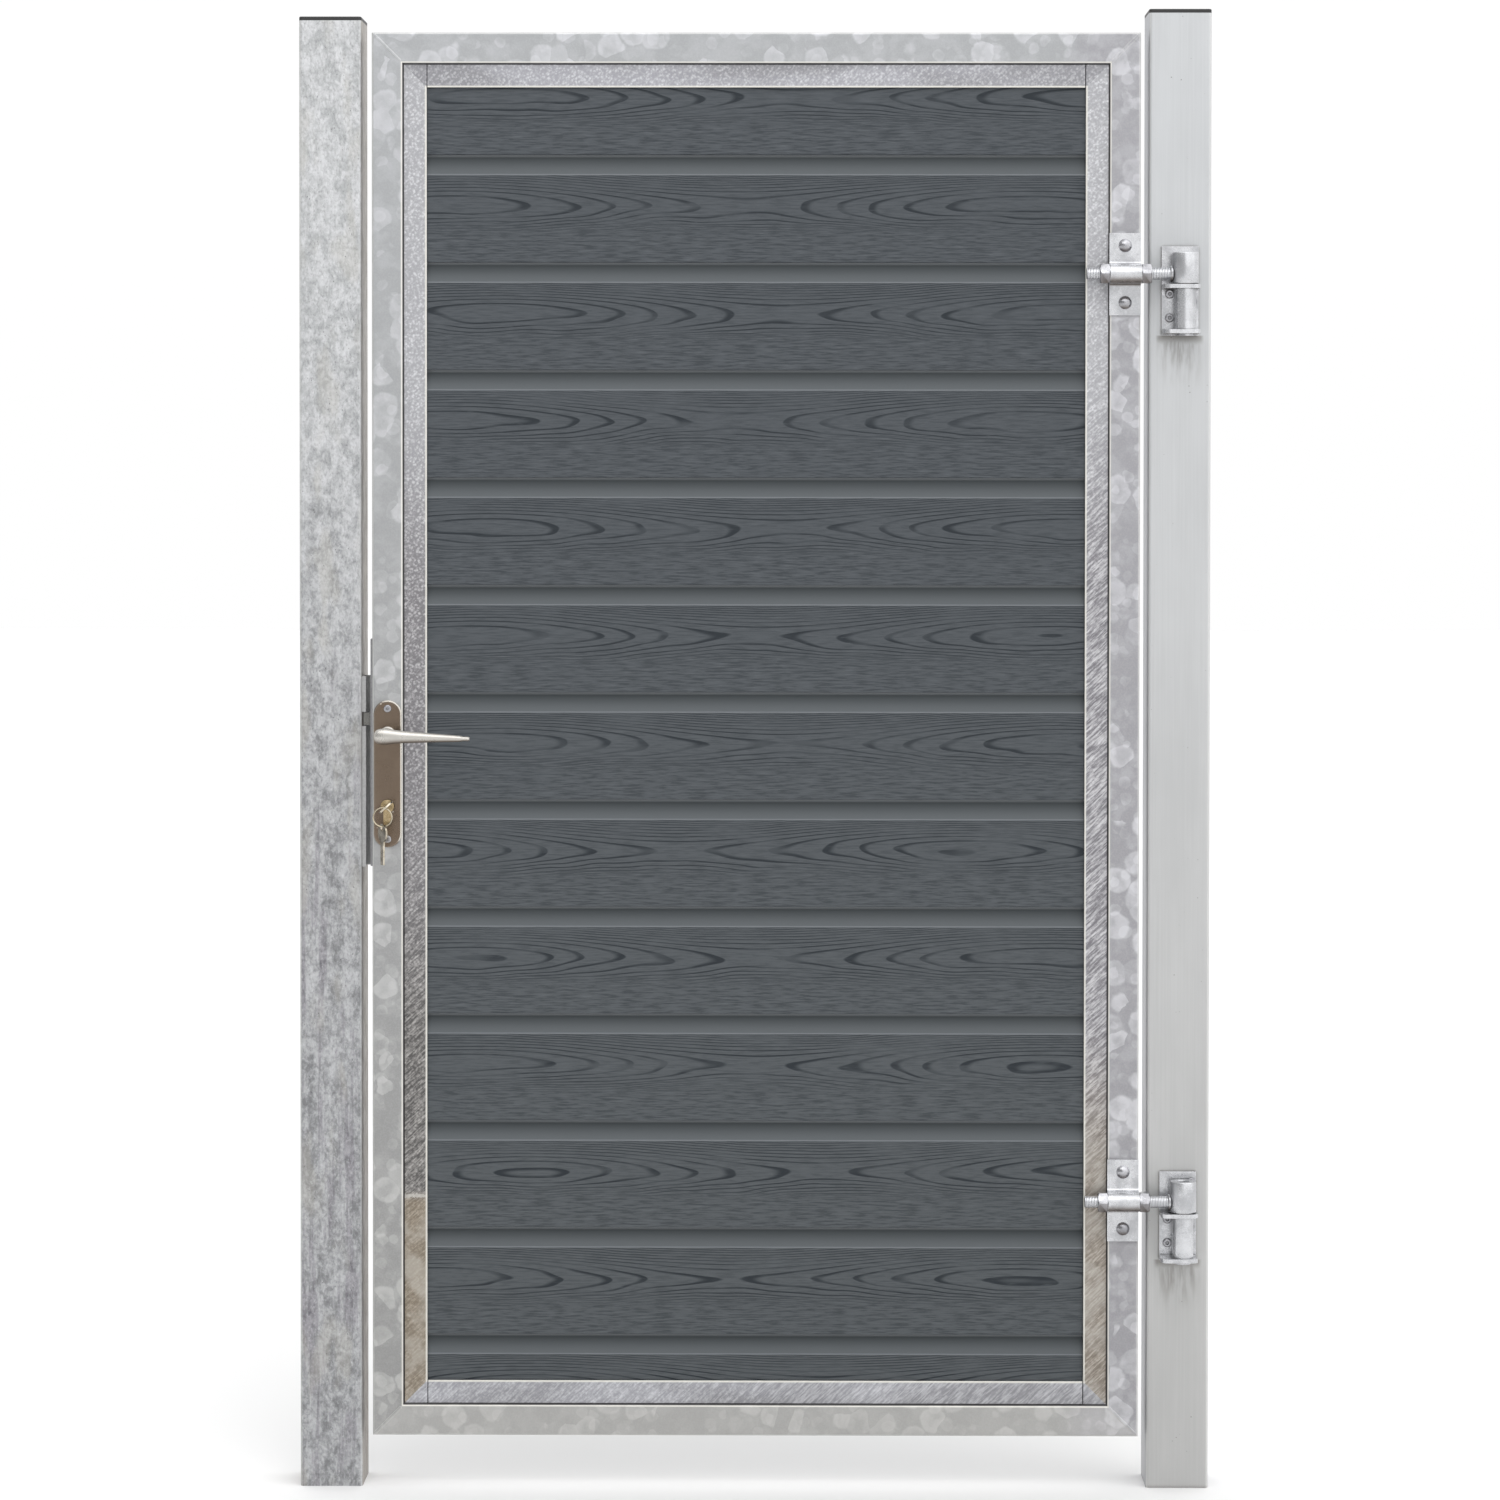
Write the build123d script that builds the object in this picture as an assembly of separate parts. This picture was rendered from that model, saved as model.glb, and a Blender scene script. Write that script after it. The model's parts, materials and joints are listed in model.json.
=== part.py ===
from build123d import *
import math
import os

# A single-leaf garden gate: a galvanised tube frame filled with composite boards, hung on
# two adjustable pin hinges between square posts, with a lever lock in the latch stile.
# Millimetres. X to the right, Y away from the side the gate opens to, Z up.
# The origin is at ground level, midway between the posts, on their front faces' plane.

# Leaf and opening
leaf_width = 983.0
leaf_height = 1800.0
ground_clearance = 68.0
latch_gap = 14.0
hinge_gap = 11.0
leaf_forward = 9.0

# Posts and their caps
post_size = 80.0
post_wall = 3.0
post_radius = 4.0
latch_post_above_leaf = 16.0
hinge_post_above_leaf = 26.0
cap_thickness = 5.0
cap_edge_radius = 1.5
cap_plug_depth = 18.0
cap_plug_wall = 2.5
cap_plug_clearance = 0.5

# Leaf frame tube
tube_size = 40.0
tube_wall = 2.0
tube_radius = 3.0

# Channels that hold the boards
channel_depth = 30.0
channel_wall = 2.0
channel_edge_radius = 0.9
channel_end_gap = 1.0
rivet_radius = 2.4
rivet_head_radius = 4.5
rivet_head_height = 1.4
rivet_grip = 3.0
rivet_end_margin = 110.0
rivet_spacing_max = 420.0

# Composite boards
board_thickness = 22.0
board_pitch = 137.75
bevel_height = 26.0
bevel_depth = 5.0
bottom_board_height = 87.4
tongue_thickness = 8.0
tongue_height = 10.0
groove_clearance = 0.8
board_wall = 4.0
board_chambers = 3
board_end_play = 3.0
board_side_play = 2.0
board_edge_radius = 0.8

# Hinges
upper_hinge_from_top = 308.5
lower_hinge_from_bottom = 305.0
pin_forward = 24.0
pin_from_post_edge = 45.0
pin_radius = 8.0
pin_running_clearance = 0.08
pin_head_overlap = 2.0
pin_head_height = 3.0
pin_below_barrel_top = 3.0
barrel_wall = 9.0
barrel_height = 40.0
barrel_above_rod = 7.0
barrel_lift = 0.5
barrel_edge_radius = 1.0
rod_radius = 8.0
rod_end_beyond_stile = 30.0
rod_end_chamfer = 1.0
nut_across_flats = 24.0
nut_thickness = 13.0
thread_clearance = 0.1

# Hinge bracket on the post
bracket_width = 47.0
bracket_height = 114.0
bracket_thickness = 4.0
bracket_from_post_edge = 16.5
bracket_above_barrel = 9.0
lug_thickness = 5.0
lug_reach = 36.0
lug_corner_radius = 8.0
sleeve_radius = 13.5
lug_spacing = 52.5
bracket_screw_places = ((40.5, 13.5), (39.0, 70.8), (10.0, 61.0), (10.0, 91.5))
bracket_screw_radius = 2.9
bracket_screw_head_radius = 5.6
bracket_screw_head_height = 3.6
bracket_screw_length = 16.0
bracket_screw_edge_radius = 1.4
bracket_screw_socket_radius = 2.9
bracket_screw_socket_depth = 2.2
screw_hole_clearance = 0.1

# Saddle that clamps the hinge rod to the leaf
saddle_height = 105.0
saddle_thickness = 4.0
saddle_boss_radius = 12.5
saddle_bore_clearance = 0.3
saddle_fillet = 4.0
carriage_bolt_spacing = 73.0
carriage_bolt_radius = 4.0
carriage_head_radius = 8.6
carriage_head_height = 4.6
carriage_nut_across_flats = 13.0
carriage_nut_thickness = 6.5
washer_radius = 8.0
washer_thickness = 1.6
carriage_bolt_tail = 3.0

# Lock heights, from the leaf's bottom edge and from each other
lever_height = 902.0
lever_to_cylinder = 92.0

# Lock faceplate on the stile's edge
faceplate_thickness = 3.0
faceplate_width = 24.0
faceplate_corner_radius = 1.5
faceplate_above_lever = 122.0
faceplate_below_lever = 170.0
faceplate_screw_inset = 10.0
small_screw_radius = 2.5
small_screw_head_radius = 4.8
small_screw_head_depth = 2.6
faceplate_screw_length = 12.0

# Lock case
case_wall = 1.5
case_back_clearance = 0.5
case_above_lever = 34.0
case_below_cylinder = 31.0
case_slot_clearance = 0.5

# Follower, spindle and latch
follower_radius = 9.0
follower_boss_radius = 7.0
follower_arm_width = 4.0
follower_arm_reach = 16.0
follower_arm_thickness = 6.0
follower_clearance = 0.3
spindle_width = 8.0
spindle_socket_depth = 12.0
square_clearance = 0.1
latch_height = 16.0
latch_above_lever = 11.0
latch_projection = 9.5
bolt_thickness = 11.6
bolt_side_play = 0.7
latch_hook_thickness = 3.0
latch_hook_gap = 1.0
latch_slot_height = 7.5
latch_slot_width = 9.0
latch_nose = 4.0
latch_bevel_inset = 0.5
bolt_clearance = 0.3
latch_spring_radius = 2.2
latch_spring_wire_radius = 0.4
latch_spring_bore_radius = 3.0
latch_spring_turns = 8
latch_bore_depth = 20.0
latch_bore_below_top = 4.0

# Dead bolt
dead_bolt_height = 30.0
dead_bolt_throw = 20.0
dead_bolt_hold = 14.0
dead_bolt_chamfer = 0.8
dead_bolt_above_cylinder = 18.0

# Profile cylinder, its plug and cam
cylinder_radius = 8.5
cylinder_tab_width = 10.0
cylinder_drop = 24.5
cylinder_proud = 4.0
cylinder_cut_clearance = 0.4
plug_radius = 6.45
plug_clearance = 0.05
plug_proud = 0.5
cam_width = 9.4
cam_hub_radius = 8.0
cam_reach = 15.2
cam_nose_width = 7.0
cam_clearance = 0.3
cylinder_screw_drop = 20.3
cylinder_screw_length = 30.0

# Keys and ring
key_turn = 48.0
key_thickness = 2.2
key_blade_height = 8.2
key_blade_length = 25.0
key_neck_length = 3.5
key_neck_height = 10.0
key_bow_radius = 12.0
key_hole_radius = 3.5
key_hole_offset = 6.0
keyway_clearance = 0.1
ring_radius = 12.0
ring_wire_radius = 0.9
ring_hang = 15.0
ring_touch_clearance = 0.4
spare_key_twist = 30.0

# Escutcheons and levers
escutcheon_width = 36.0
escutcheon_height = 188.5
escutcheon_thickness = 3.0
escutcheon_below_lever = 145.0
escutcheon_edge_radius = 1.0
escutcheon_screw_inset = 10.5
escutcheon_screw_length = 10.0
escutcheon_screw_head_height = 1.8
escutcheon_screw_edge_radius = 0.7
escutcheon_screw_socket_radius = 2.0
escutcheon_screw_socket_depth = 1.1
lever_neck_radius = 8.5
lever_neck_clearance = 0.3
lever_projection = 46.0
lever_length = 110.0
lever_nose = 13.0
set_screw_radius = 2.5
set_screw_from_end = 8.0
set_screw_recess = 0.8

# The lever grip's sections: share of the nose or the length, half-thickness and half-height
lever_nose_sections = ((1.0, 2.4, 3.0), (0.72, 5.2, 7.4), (0.2, 6.4, 9.2))
lever_grip_sections = (
    (0.12, 6.6, 9.2),
    (0.45, 6.0, 7.2),
    (0.8, 5.0, 5.0),
    (0.96, 4.4, 4.2),
    (1.0, 2.4, 2.2),
)

# Keep on the latch post
keep_thickness = 2.5
keep_above_lever = 74.0
keep_below_lever = 171.0
keep_from_post_front = 2.5
keep_lip = 5.0
keep_back_reach = 12.5
keep_stop_reach = 20.0
keep_stop_clearance = 0.6
keep_stop_from_escutcheon = 2.0
keep_opening_clearance = 1.0
keep_screw_inset = 10.0
keep_screw_from_mid = 10.0
keep_screw_length = 9.0
keep_screw_head_depth = 2.0

# Places that follow from the sizes
clear_opening = leaf_width + latch_gap + hinge_gap
latch_post_face = -clear_opening / 2
hinge_post_face = clear_opening / 2
leaf_left = latch_post_face + latch_gap
leaf_right = hinge_post_face - hinge_gap
leaf_bottom = ground_clearance
leaf_top = leaf_bottom + leaf_height
leaf_front = -leaf_forward
leaf_back = leaf_front + tube_size
leaf_mid = (leaf_front + leaf_back) / 2
channel_size = board_thickness + 2 * (board_side_play + channel_wall)
infill_left = leaf_left + tube_size
infill_right = leaf_right - tube_size
infill_bottom = leaf_bottom + tube_size
infill_top = leaf_top - tube_size
latch_post_top = leaf_top + latch_post_above_leaf
hinge_post_top = leaf_top + hinge_post_above_leaf

pin_x = hinge_post_face + pin_from_post_edge
pin_y = -pin_forward
pin_head_radius = pin_radius + pin_head_overlap
barrel_radius = pin_radius + barrel_wall
rod_heights = (leaf_top - upper_hinge_from_top, leaf_bottom + lower_hinge_from_bottom)
hinge_stile_x = leaf_right - tube_size / 2
bracket_left = hinge_post_face + bracket_from_post_edge

lock_x = leaf_left + tube_size / 2
lever_z = leaf_bottom + lever_height
cylinder_z = lever_z - lever_to_cylinder
case_thickness = bolt_thickness + 2 * (case_wall + bolt_side_play)
case_front = leaf_mid - case_thickness / 2
case_back = leaf_mid + case_thickness / 2
case_right = leaf_left + tube_size - tube_wall - case_back_clearance
case_top = lever_z + case_above_lever
case_bottom = cylinder_z - case_below_cylinder
bolt_front = leaf_mid - bolt_thickness / 2
bolt_back = leaf_mid + bolt_thickness / 2
faceplate_left = leaf_left - faceplate_thickness
faceplate_top = lever_z + faceplate_above_lever
faceplate_bottom = lever_z - faceplate_below_lever
latch_bottom = lever_z + latch_above_lever
latch_top = latch_bottom + latch_height
latch_bore_z = latch_top - latch_bore_below_top
dead_bolt_bottom = cylinder_z + dead_bolt_above_cylinder
dead_bolt_top = dead_bolt_bottom + dead_bolt_height
dead_bolt_length = dead_bolt_throw + dead_bolt_hold
escutcheon_front = leaf_front - escutcheon_thickness
escutcheon_back = leaf_back + escutcheon_thickness
escutcheon_bottom = lever_z - escutcheon_below_lever
escutcheon_mid_z = escutcheon_bottom + escutcheon_height / 2
cylinder_front = escutcheon_front - cylinder_proud
cylinder_back = escutcheon_back + cylinder_proud

along_x = (1, 0, 0)
along_y = (0, 1, 0)
along_z = (0, 0, 1)
towards_front = (0, -1, 0)
downwards = (0, 0, -1)
overshoot = 5.0
smallest_radius = 0.5
near = 0.01


def block(low, high):
    """A box between two opposite corners."""
    size = [high[i] - low[i] for i in range(3)]
    middle = [(high[i] + low[i]) / 2 for i in range(3)]
    return Pos(*middle) * Box(*size)


def bar(start, direction, radius, length):
    """A round bar from a start point along a direction."""
    upright = Cylinder(radius, length, align=(Align.CENTER, Align.CENTER, Align.MIN))
    return Plane(origin=start, z_dir=direction) * upright


def extrude_x(outline, low, high):
    """Extrude an outline drawn in (Y, Z) between two X places."""
    return extrude(Plane(origin=(low, 0, 0), x_dir=along_y, z_dir=along_x) * outline, high - low)


def extrude_y(outline, low, high):
    """Extrude an outline drawn in (X, Z) between two Y places."""
    return extrude(Plane(origin=(0, high, 0), x_dir=along_x, z_dir=towards_front) * outline, high - low)


def extrude_z(outline, low, high):
    """Extrude an outline drawn in (X, Y) between two Z places."""
    return extrude(Pos(0, 0, low) * outline, high - low)


def outline_of(points):
    """A closed face through a list of (u, v) points."""
    return make_face(Polyline(*points, close=True))


def square_tube_outline(size, wall, radius):
    """The section of a square hollow tube, centred."""
    outer = RectangleRounded(size, size, radius)
    inner = RectangleRounded(size - 2 * wall, size - 2 * wall, max(radius - wall, smallest_radius))
    return outer - inner


def hex_nut(start, direction, across_flats, thickness, hole_radius):
    """A hexagon nut from a start point along a direction, with a flat towards the leaf."""
    sketch = RegularPolygon(across_flats / 2, 6, major_radius=False) - Circle(hole_radius)
    turned = Plane(origin=start, x_dir=along_z, z_dir=direction)
    return extrude(turned * sketch, thickness)


def socket_screw(seat, direction, radius, length, head_radius, head_height, edge_radius, socket):
    """A screw whose head sits on the seat, with a hexagon socket of a radius and a depth."""
    backwards = tuple(-part for part in direction)
    head = bar(seat, backwards, head_radius, head_height)
    top_edge = head.edges().sort_by(Axis(seat, backwards))[-1]
    head = fillet(top_edge, edge_radius)
    far = tuple(seat[i] + backwards[i] * head_height for i in range(3))
    socket_radius, socket_depth = socket
    recess = extrude(Plane(origin=far, z_dir=direction) * RegularPolygon(socket_radius, 6), socket_depth)
    return head - recess + bar(seat, direction, radius, length)


def countersunk_screw(face, direction, radius, length, head_radius, head_depth):
    """A flat-head screw whose head is flush with a face."""
    cone = Cone(head_radius, radius, head_depth, align=(Align.CENTER, Align.CENTER, Align.MIN))
    return Plane(origin=face, z_dir=direction) * cone + bar(face, direction, radius, length)


def countersink(face, direction, radius, length, head_radius, head_depth):
    """The clearance cut that a flat-head screw fits into."""
    return countersunk_screw(
        face,
        direction,
        radius + screw_hole_clearance,
        length,
        head_radius + screw_hole_clearance,
        head_depth + screw_hole_clearance,
    )


def cylinder_outline(clearance):
    """The profile cylinder's section in (X, Z), about the plug's axis."""
    foot_z = -cylinder_drop + cylinder_tab_width / 2
    tab = Pos(0, foot_z / 2) * Rectangle(cylinder_tab_width + 2 * clearance, -foot_z)
    foot = Pos(0, foot_z) * Circle(cylinder_tab_width / 2 + clearance)
    return Circle(cylinder_radius + clearance) + tab + foot


def at_cylinder(outline, low, high):
    """Extrude an outline about the plug's axis between two Y places."""
    return Pos(lock_x, 0, cylinder_z) * extrude_y(outline, low, high)


# Posts


def bracket_top_of(rod_z):
    return rod_z + barrel_above_rod + barrel_height / 2 + bracket_above_barrel


def bracket_screw_seats(rod_z):
    """The places on the bracket's front face where its screws seat."""
    top = bracket_top_of(rod_z)
    return [(bracket_left + x, -bracket_thickness, top - drop) for x, drop in bracket_screw_places]


def keep_screw_faces():
    """The places on the keep's face where its screws sit, with the direction they are driven."""
    low = lever_z - keep_below_lever + keep_screw_inset
    high = lever_z + keep_above_lever - keep_screw_inset
    return [(latch_post_face + keep_thickness, leaf_mid + keep_screw_from_mid, z) for z in (low, high)]


def plain_post(inner_face, outwards, height):
    """A square tube post whose inner face is at a given X place."""
    middle_x = inner_face + outwards * post_size / 2
    section = square_tube_outline(post_size, post_wall, post_radius)
    return Pos(middle_x, post_size / 2, 0) * extrude_z(section, 0, height)


def latch_post():
    post = plain_post(latch_post_face, -1, latch_post_top)
    reach = keep_opening_clearance
    post -= block(
        (latch_post_face - post_wall - 1, bolt_front - reach / 2, dead_bolt_bottom - reach),
        (latch_post_face + 1, bolt_back + reach / 2, dead_bolt_top + reach),
    )
    for face in keep_screw_faces():
        post -= bar(face, (-1, 0, 0), small_screw_radius + screw_hole_clearance, keep_screw_length)
    return post


def hinge_post():
    post = plain_post(hinge_post_face, 1, hinge_post_top)
    hole_radius = bracket_screw_radius + screw_hole_clearance
    for rod_z in rod_heights:
        for x, y, z in bracket_screw_seats(rod_z):
            post -= bar((x, y, z), along_y, hole_radius, bracket_thickness + post_wall + 1)
    return post


def post_cap(inner_face, outwards, height):
    middle_x = inner_face + outwards * post_size / 2
    lid = extrude_z(RectangleRounded(post_size, post_size, post_radius), height, height + cap_thickness)
    lid = fillet(lid.edges().group_by(Axis.Z)[-1], cap_edge_radius)
    plug_size = post_size - 2 * (post_wall + cap_plug_clearance)
    plug = square_tube_outline(plug_size, cap_plug_wall, max(post_radius - post_wall, smallest_radius))
    lid += extrude_z(plug, height - cap_plug_depth, height)
    return Pos(middle_x, post_size / 2, 0) * lid


def keep():
    """The lock's keep: a plate on the post, a front lip, and stops behind the leaf."""
    low = lever_z - keep_below_lever
    high = lever_z + keep_above_lever
    stop_front = leaf_back + keep_stop_clearance
    stop_back = stop_front + keep_thickness
    lip_back = keep_from_post_front + keep_thickness
    base_right = latch_post_face + keep_thickness
    outline = outline_of(
        [
            (latch_post_face, keep_from_post_front),
            (latch_post_face + keep_lip, keep_from_post_front),
            (latch_post_face + keep_lip, lip_back),
            (base_right, lip_back),
            (base_right, stop_front),
            (latch_post_face + keep_back_reach, stop_front),
            (latch_post_face + keep_back_reach, stop_back),
            (latch_post_face, stop_back),
        ]
    )
    plate = extrude_z(outline, low, high)
    stop_right = latch_post_face + keep_stop_reach
    lower_stop_top = escutcheon_bottom - keep_stop_from_escutcheon
    upper_stop_bottom = escutcheon_bottom + escutcheon_height + keep_stop_from_escutcheon
    for bottom, top in ((low, lower_stop_top), (upper_stop_bottom, high)):
        plate += block((base_right, stop_front, bottom), (stop_right, stop_back, top))
    reach = keep_opening_clearance
    plate -= block(
        (latch_post_face - 1, bolt_front - reach / 2, dead_bolt_bottom - reach),
        (base_right + 1, bolt_back + reach / 2, dead_bolt_top + reach),
    )
    plate -= block(
        (latch_post_face - 1, keep_from_post_front - 1, latch_bottom - reach),
        (latch_post_face + keep_lip + 1, bolt_back + reach, latch_top + reach),
    )
    for face in keep_screw_faces():
        plate -= countersink(
            face,
            (-1, 0, 0),
            small_screw_radius,
            keep_screw_length,
            small_screw_head_radius,
            keep_screw_head_depth,
        )
    return plate


def keep_screws():
    return [
        countersunk_screw(
            face,
            (-1, 0, 0),
            small_screw_radius,
            keep_screw_length,
            small_screw_head_radius,
            keep_screw_head_depth,
        )
        for face in keep_screw_faces()
    ]


def barrel_bottom_of(rod_z):
    return rod_z + barrel_above_rod - barrel_height / 2


def lug_tops(rod_z):
    """The top faces of a bracket's two lugs, upper first."""
    upper = barrel_bottom_of(rod_z) - barrel_lift
    return upper, upper - lug_thickness - lug_spacing


def post_bracket(rod_z):
    """The plate on the hinge post with two lugs and, between them, a sleeve that hold the pin."""
    right = bracket_left + bracket_width
    top = bracket_top_of(rod_z)
    bracket = block((bracket_left, -bracket_thickness, top - bracket_height), (right, 0, top))
    for lug_top in lug_tops(rod_z):
        front = -bracket_thickness - lug_reach
        lug = block((bracket_left, front, lug_top - lug_thickness), (right, -bracket_thickness, lug_top))
        corners = lug.edges().filter_by(Axis.Z).group_by(Axis.Y)[0]
        bracket += fillet(corners, lug_corner_radius)
    lower_lug_top = lug_tops(rod_z)[1]
    bracket += bar((pin_x, pin_y, lower_lug_top), along_z, sleeve_radius, lug_spacing)
    low = lower_lug_top - lug_thickness - 1
    bracket -= bar((pin_x, pin_y, low), along_z, pin_radius + screw_hole_clearance, bracket_height)
    for seat in bracket_screw_seats(rod_z):
        hole_radius = bracket_screw_radius + screw_hole_clearance
        bracket -= bar(seat, along_y, hole_radius, bracket_thickness + 1)
    return bracket


def hinge_pin(rod_z):
    bottom = lug_tops(rod_z)[1] - lug_thickness
    top = barrel_bottom_of(rod_z) + barrel_height - pin_below_barrel_top
    pin = bar((pin_x, pin_y, bottom - pin_head_height), along_z, pin_head_radius, pin_head_height)
    return pin + bar((pin_x, pin_y, bottom), along_z, pin_radius, top - bottom)


def bracket_screws():
    seats = [seat for rod_z in rod_heights for seat in bracket_screw_seats(rod_z)]
    return [
        socket_screw(
            seat,
            along_y,
            bracket_screw_radius,
            bracket_screw_length,
            bracket_screw_head_radius,
            bracket_screw_head_height,
            bracket_screw_edge_radius,
            (bracket_screw_socket_radius, bracket_screw_socket_depth),
        )
        for seat in seats
    ]


# Leaf frame


def mitred_tube(is_upright, is_first):
    """One side of the leaf's tube frame, cut at 45 degrees at both ends."""
    section = square_tube_outline(tube_size, tube_wall, tube_radius)
    far = tube_size + overshoot
    if is_upright:
        edge = leaf_left if is_first else leaf_right
        inwards = 1 if is_first else -1
        middle = edge + inwards * tube_size / 2
        tube = extrude_z(Pos(middle, leaf_mid) * section, leaf_bottom, leaf_top)
        trapezium = [
            (edge - inwards * overshoot, leaf_bottom - overshoot),
            (edge + inwards * far, leaf_bottom + far),
            (edge + inwards * far, leaf_top - far),
            (edge - inwards * overshoot, leaf_top + overshoot),
        ]
    else:
        edge = leaf_bottom if is_first else leaf_top
        inwards = 1 if is_first else -1
        middle = edge + inwards * tube_size / 2
        tube = extrude_x(Pos(leaf_mid, middle) * section, leaf_left, leaf_right)
        trapezium = [
            (leaf_left - overshoot, edge - inwards * overshoot),
            (leaf_left + far, edge + inwards * far),
            (leaf_right - far, edge + inwards * far),
            (leaf_right + overshoot, edge - inwards * overshoot),
        ]
    return tube & extrude_y(outline_of(trapezium), leaf_front - 1, leaf_back + 1)


def channel_outline(outwards):
    """A channel's section: its web at 0 on the first axis, its mouth towards the positive side."""
    half = channel_size / 2
    outer = Pos(channel_depth / 2, 0) * Rectangle(channel_depth, channel_size)
    middle = channel_wall + channel_depth / 2
    hollow = Pos(middle, 0) * Rectangle(channel_depth, channel_size - 2 * channel_wall)
    mouth_corners = (outer - hollow).vertices().filter_by(lambda v: abs(v.Y) > half - near)
    rounded = fillet(mouth_corners, channel_edge_radius)
    return rounded if outwards > 0 else mirror(rounded, Plane.YZ)


def rivet_spots(low, high):
    """Even spots along a channel, clear of its ends."""
    first = low + rivet_end_margin
    last = high - rivet_end_margin
    count = max(2, math.ceil((last - first) / rivet_spacing_max) + 1)
    return [first + (last - first) * i / (count - 1) for i in range(count)]


def upright_rivets():
    """Places and directions of the rivets through the upright channels' webs."""
    beside_lock = rivet_spots(infill_bottom, case_bottom) + rivet_spots(case_top, infill_top)
    spots = [((infill_left + channel_wall, leaf_mid, z), (-1, 0, 0)) for z in beside_lock]
    for z in rivet_spots(infill_bottom, infill_top):
        spots.append(((infill_right - channel_wall, leaf_mid, z), (1, 0, 0)))
    return spots


def level_rivets():
    """Places and directions of the rivets through the level channels' webs."""
    spots = []
    for x in rivet_spots(infill_left + channel_depth, infill_right - channel_depth):
        spots.append(((x, leaf_mid, infill_top - channel_wall), (0, 0, 1)))
    return spots


def rivet_cuts(shape, spots):
    """Drill a shape for the rivets at the given spots."""
    for place, direction in spots:
        radius = rivet_radius + screw_hole_clearance
        shape -= bar(place, direction, radius, channel_wall + tube_wall + 1)
    return shape


def rivets():
    bodies = []
    for place, direction in upright_rivets() + level_rivets():
        backwards = tuple(-part for part in direction)
        head = bar(place, backwards, rivet_head_radius, rivet_head_height)
        shank = bar(place, direction, rivet_radius, channel_wall + tube_wall + rivet_grip)
        bodies.append(head + shank)
    return bodies


def upright_channel(is_first):
    web = infill_left if is_first else infill_right
    outline = Pos(web, leaf_mid) * channel_outline(1 if is_first else -1)
    return rivet_cuts(extrude_z(outline, infill_bottom, infill_top), upright_rivets())


def level_channel(is_first):
    web = infill_bottom if is_first else infill_top
    turn = 90 if is_first else -90
    outline = Pos(leaf_mid, web) * Rot(0, 0, turn) * channel_outline(1)
    left = infill_left + channel_depth + channel_end_gap
    right = infill_right - channel_depth - channel_end_gap
    channel = extrude_x(outline, left, right)
    return channel if is_first else rivet_cuts(channel, level_rivets())


def carriage_bolt_centres():
    """The X and Z places of the bolts that hold the saddles."""
    half = carriage_bolt_spacing / 2
    return [(hinge_stile_x, rod_z + side * half) for rod_z in rod_heights for side in (1, -1)]


def hinge_stile():
    stile = rivet_cuts(mitred_tube(True, False), upright_rivets())
    for x, z in carriage_bolt_centres():
        radius = carriage_bolt_radius + screw_hole_clearance
        stile -= bar((x, leaf_front - 1, z), along_y, radius, tube_size + 2)
    return stile


def case_slot():
    """The slot in the latch stile's edge that the lock case goes in through."""
    gap = case_slot_clearance
    return block(
        (leaf_left - 1, case_front - gap, case_bottom - gap),
        (leaf_left + tube_wall + 1, case_back + gap, case_top + gap),
    )


def faceplate_screw_faces():
    low = faceplate_bottom + faceplate_screw_inset
    high = faceplate_top - faceplate_screw_inset
    return [(faceplate_left, leaf_mid, z) for z in (low, high)]


def escutcheon_screw_seats():
    """Where the escutcheon screws seat, with the direction each is driven."""
    half = escutcheon_height / 2 - escutcheon_screw_inset
    seats = []
    for z in (escutcheon_mid_z - half, escutcheon_mid_z + half):
        seats.append(((lock_x, escutcheon_front, z), (0, 1, 0)))
        seats.append(((lock_x, escutcheon_back, z), (0, -1, 0)))
    return seats


def latch_stile():
    stile = rivet_cuts(mitred_tube(True, True), upright_rivets())
    stile -= case_slot()
    stile -= at_cylinder(cylinder_outline(2 * cylinder_cut_clearance), leaf_front - 1, leaf_back + 1)
    neck_hole = lever_neck_radius + 2 * lever_neck_clearance
    stile -= bar((lock_x, leaf_front - 1, lever_z), along_y, neck_hole, tube_size + 2)
    hole_radius = small_screw_radius + screw_hole_clearance
    for place in faceplate_screw_faces():
        stile -= bar(place, along_x, hole_radius, faceplate_thickness + tube_wall + 1)
    for place, direction in escutcheon_screw_seats():
        stile -= bar(place, direction, hole_radius, escutcheon_thickness + tube_wall + 1)
    return stile


# Boards


def board_outline():
    """A whole board's section in (Y, Z), about its own middle plane, from its lower edge."""
    face = board_thickness / 2
    neck = face - bevel_depth
    tongue = tongue_thickness / 2
    groove = tongue + groove_clearance
    groove_top = tongue_height + groove_clearance
    bevel_start = board_pitch - bevel_height
    right_side = [
        (groove, groove_top),
        (groove, 0),
        (face, 0),
        (face, bevel_start),
        (neck, board_pitch),
        (tongue, board_pitch),
        (tongue, board_pitch + tongue_height),
    ]
    left_side = [(-y, z) for y, z in reversed(right_side)]
    outline = outline_of(right_side + left_side)
    is_rounded = lambda v: abs(abs(v.X) - face) < near
    outline = fillet(outline.vertices().filter_by(is_rounded), board_edge_radius)
    low = groove_top + board_wall
    high = bevel_start
    step = (high - low + board_wall) / board_chambers
    chamber = Rectangle(board_thickness - 2 * board_wall, step - board_wall)
    for i in range(board_chambers):
        outline -= Pos(0, low + (step - board_wall) / 2 + i * step) * chamber
    return outline


def board_joint_lines():
    """The heights where one board's lower edge sits on the next board down."""
    lines = [infill_bottom + channel_wall + bottom_board_height]
    highest = infill_top - channel_wall - board_end_play
    while lines[-1] + board_pitch < highest:
        lines.append(lines[-1] + board_pitch)
    return lines


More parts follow.
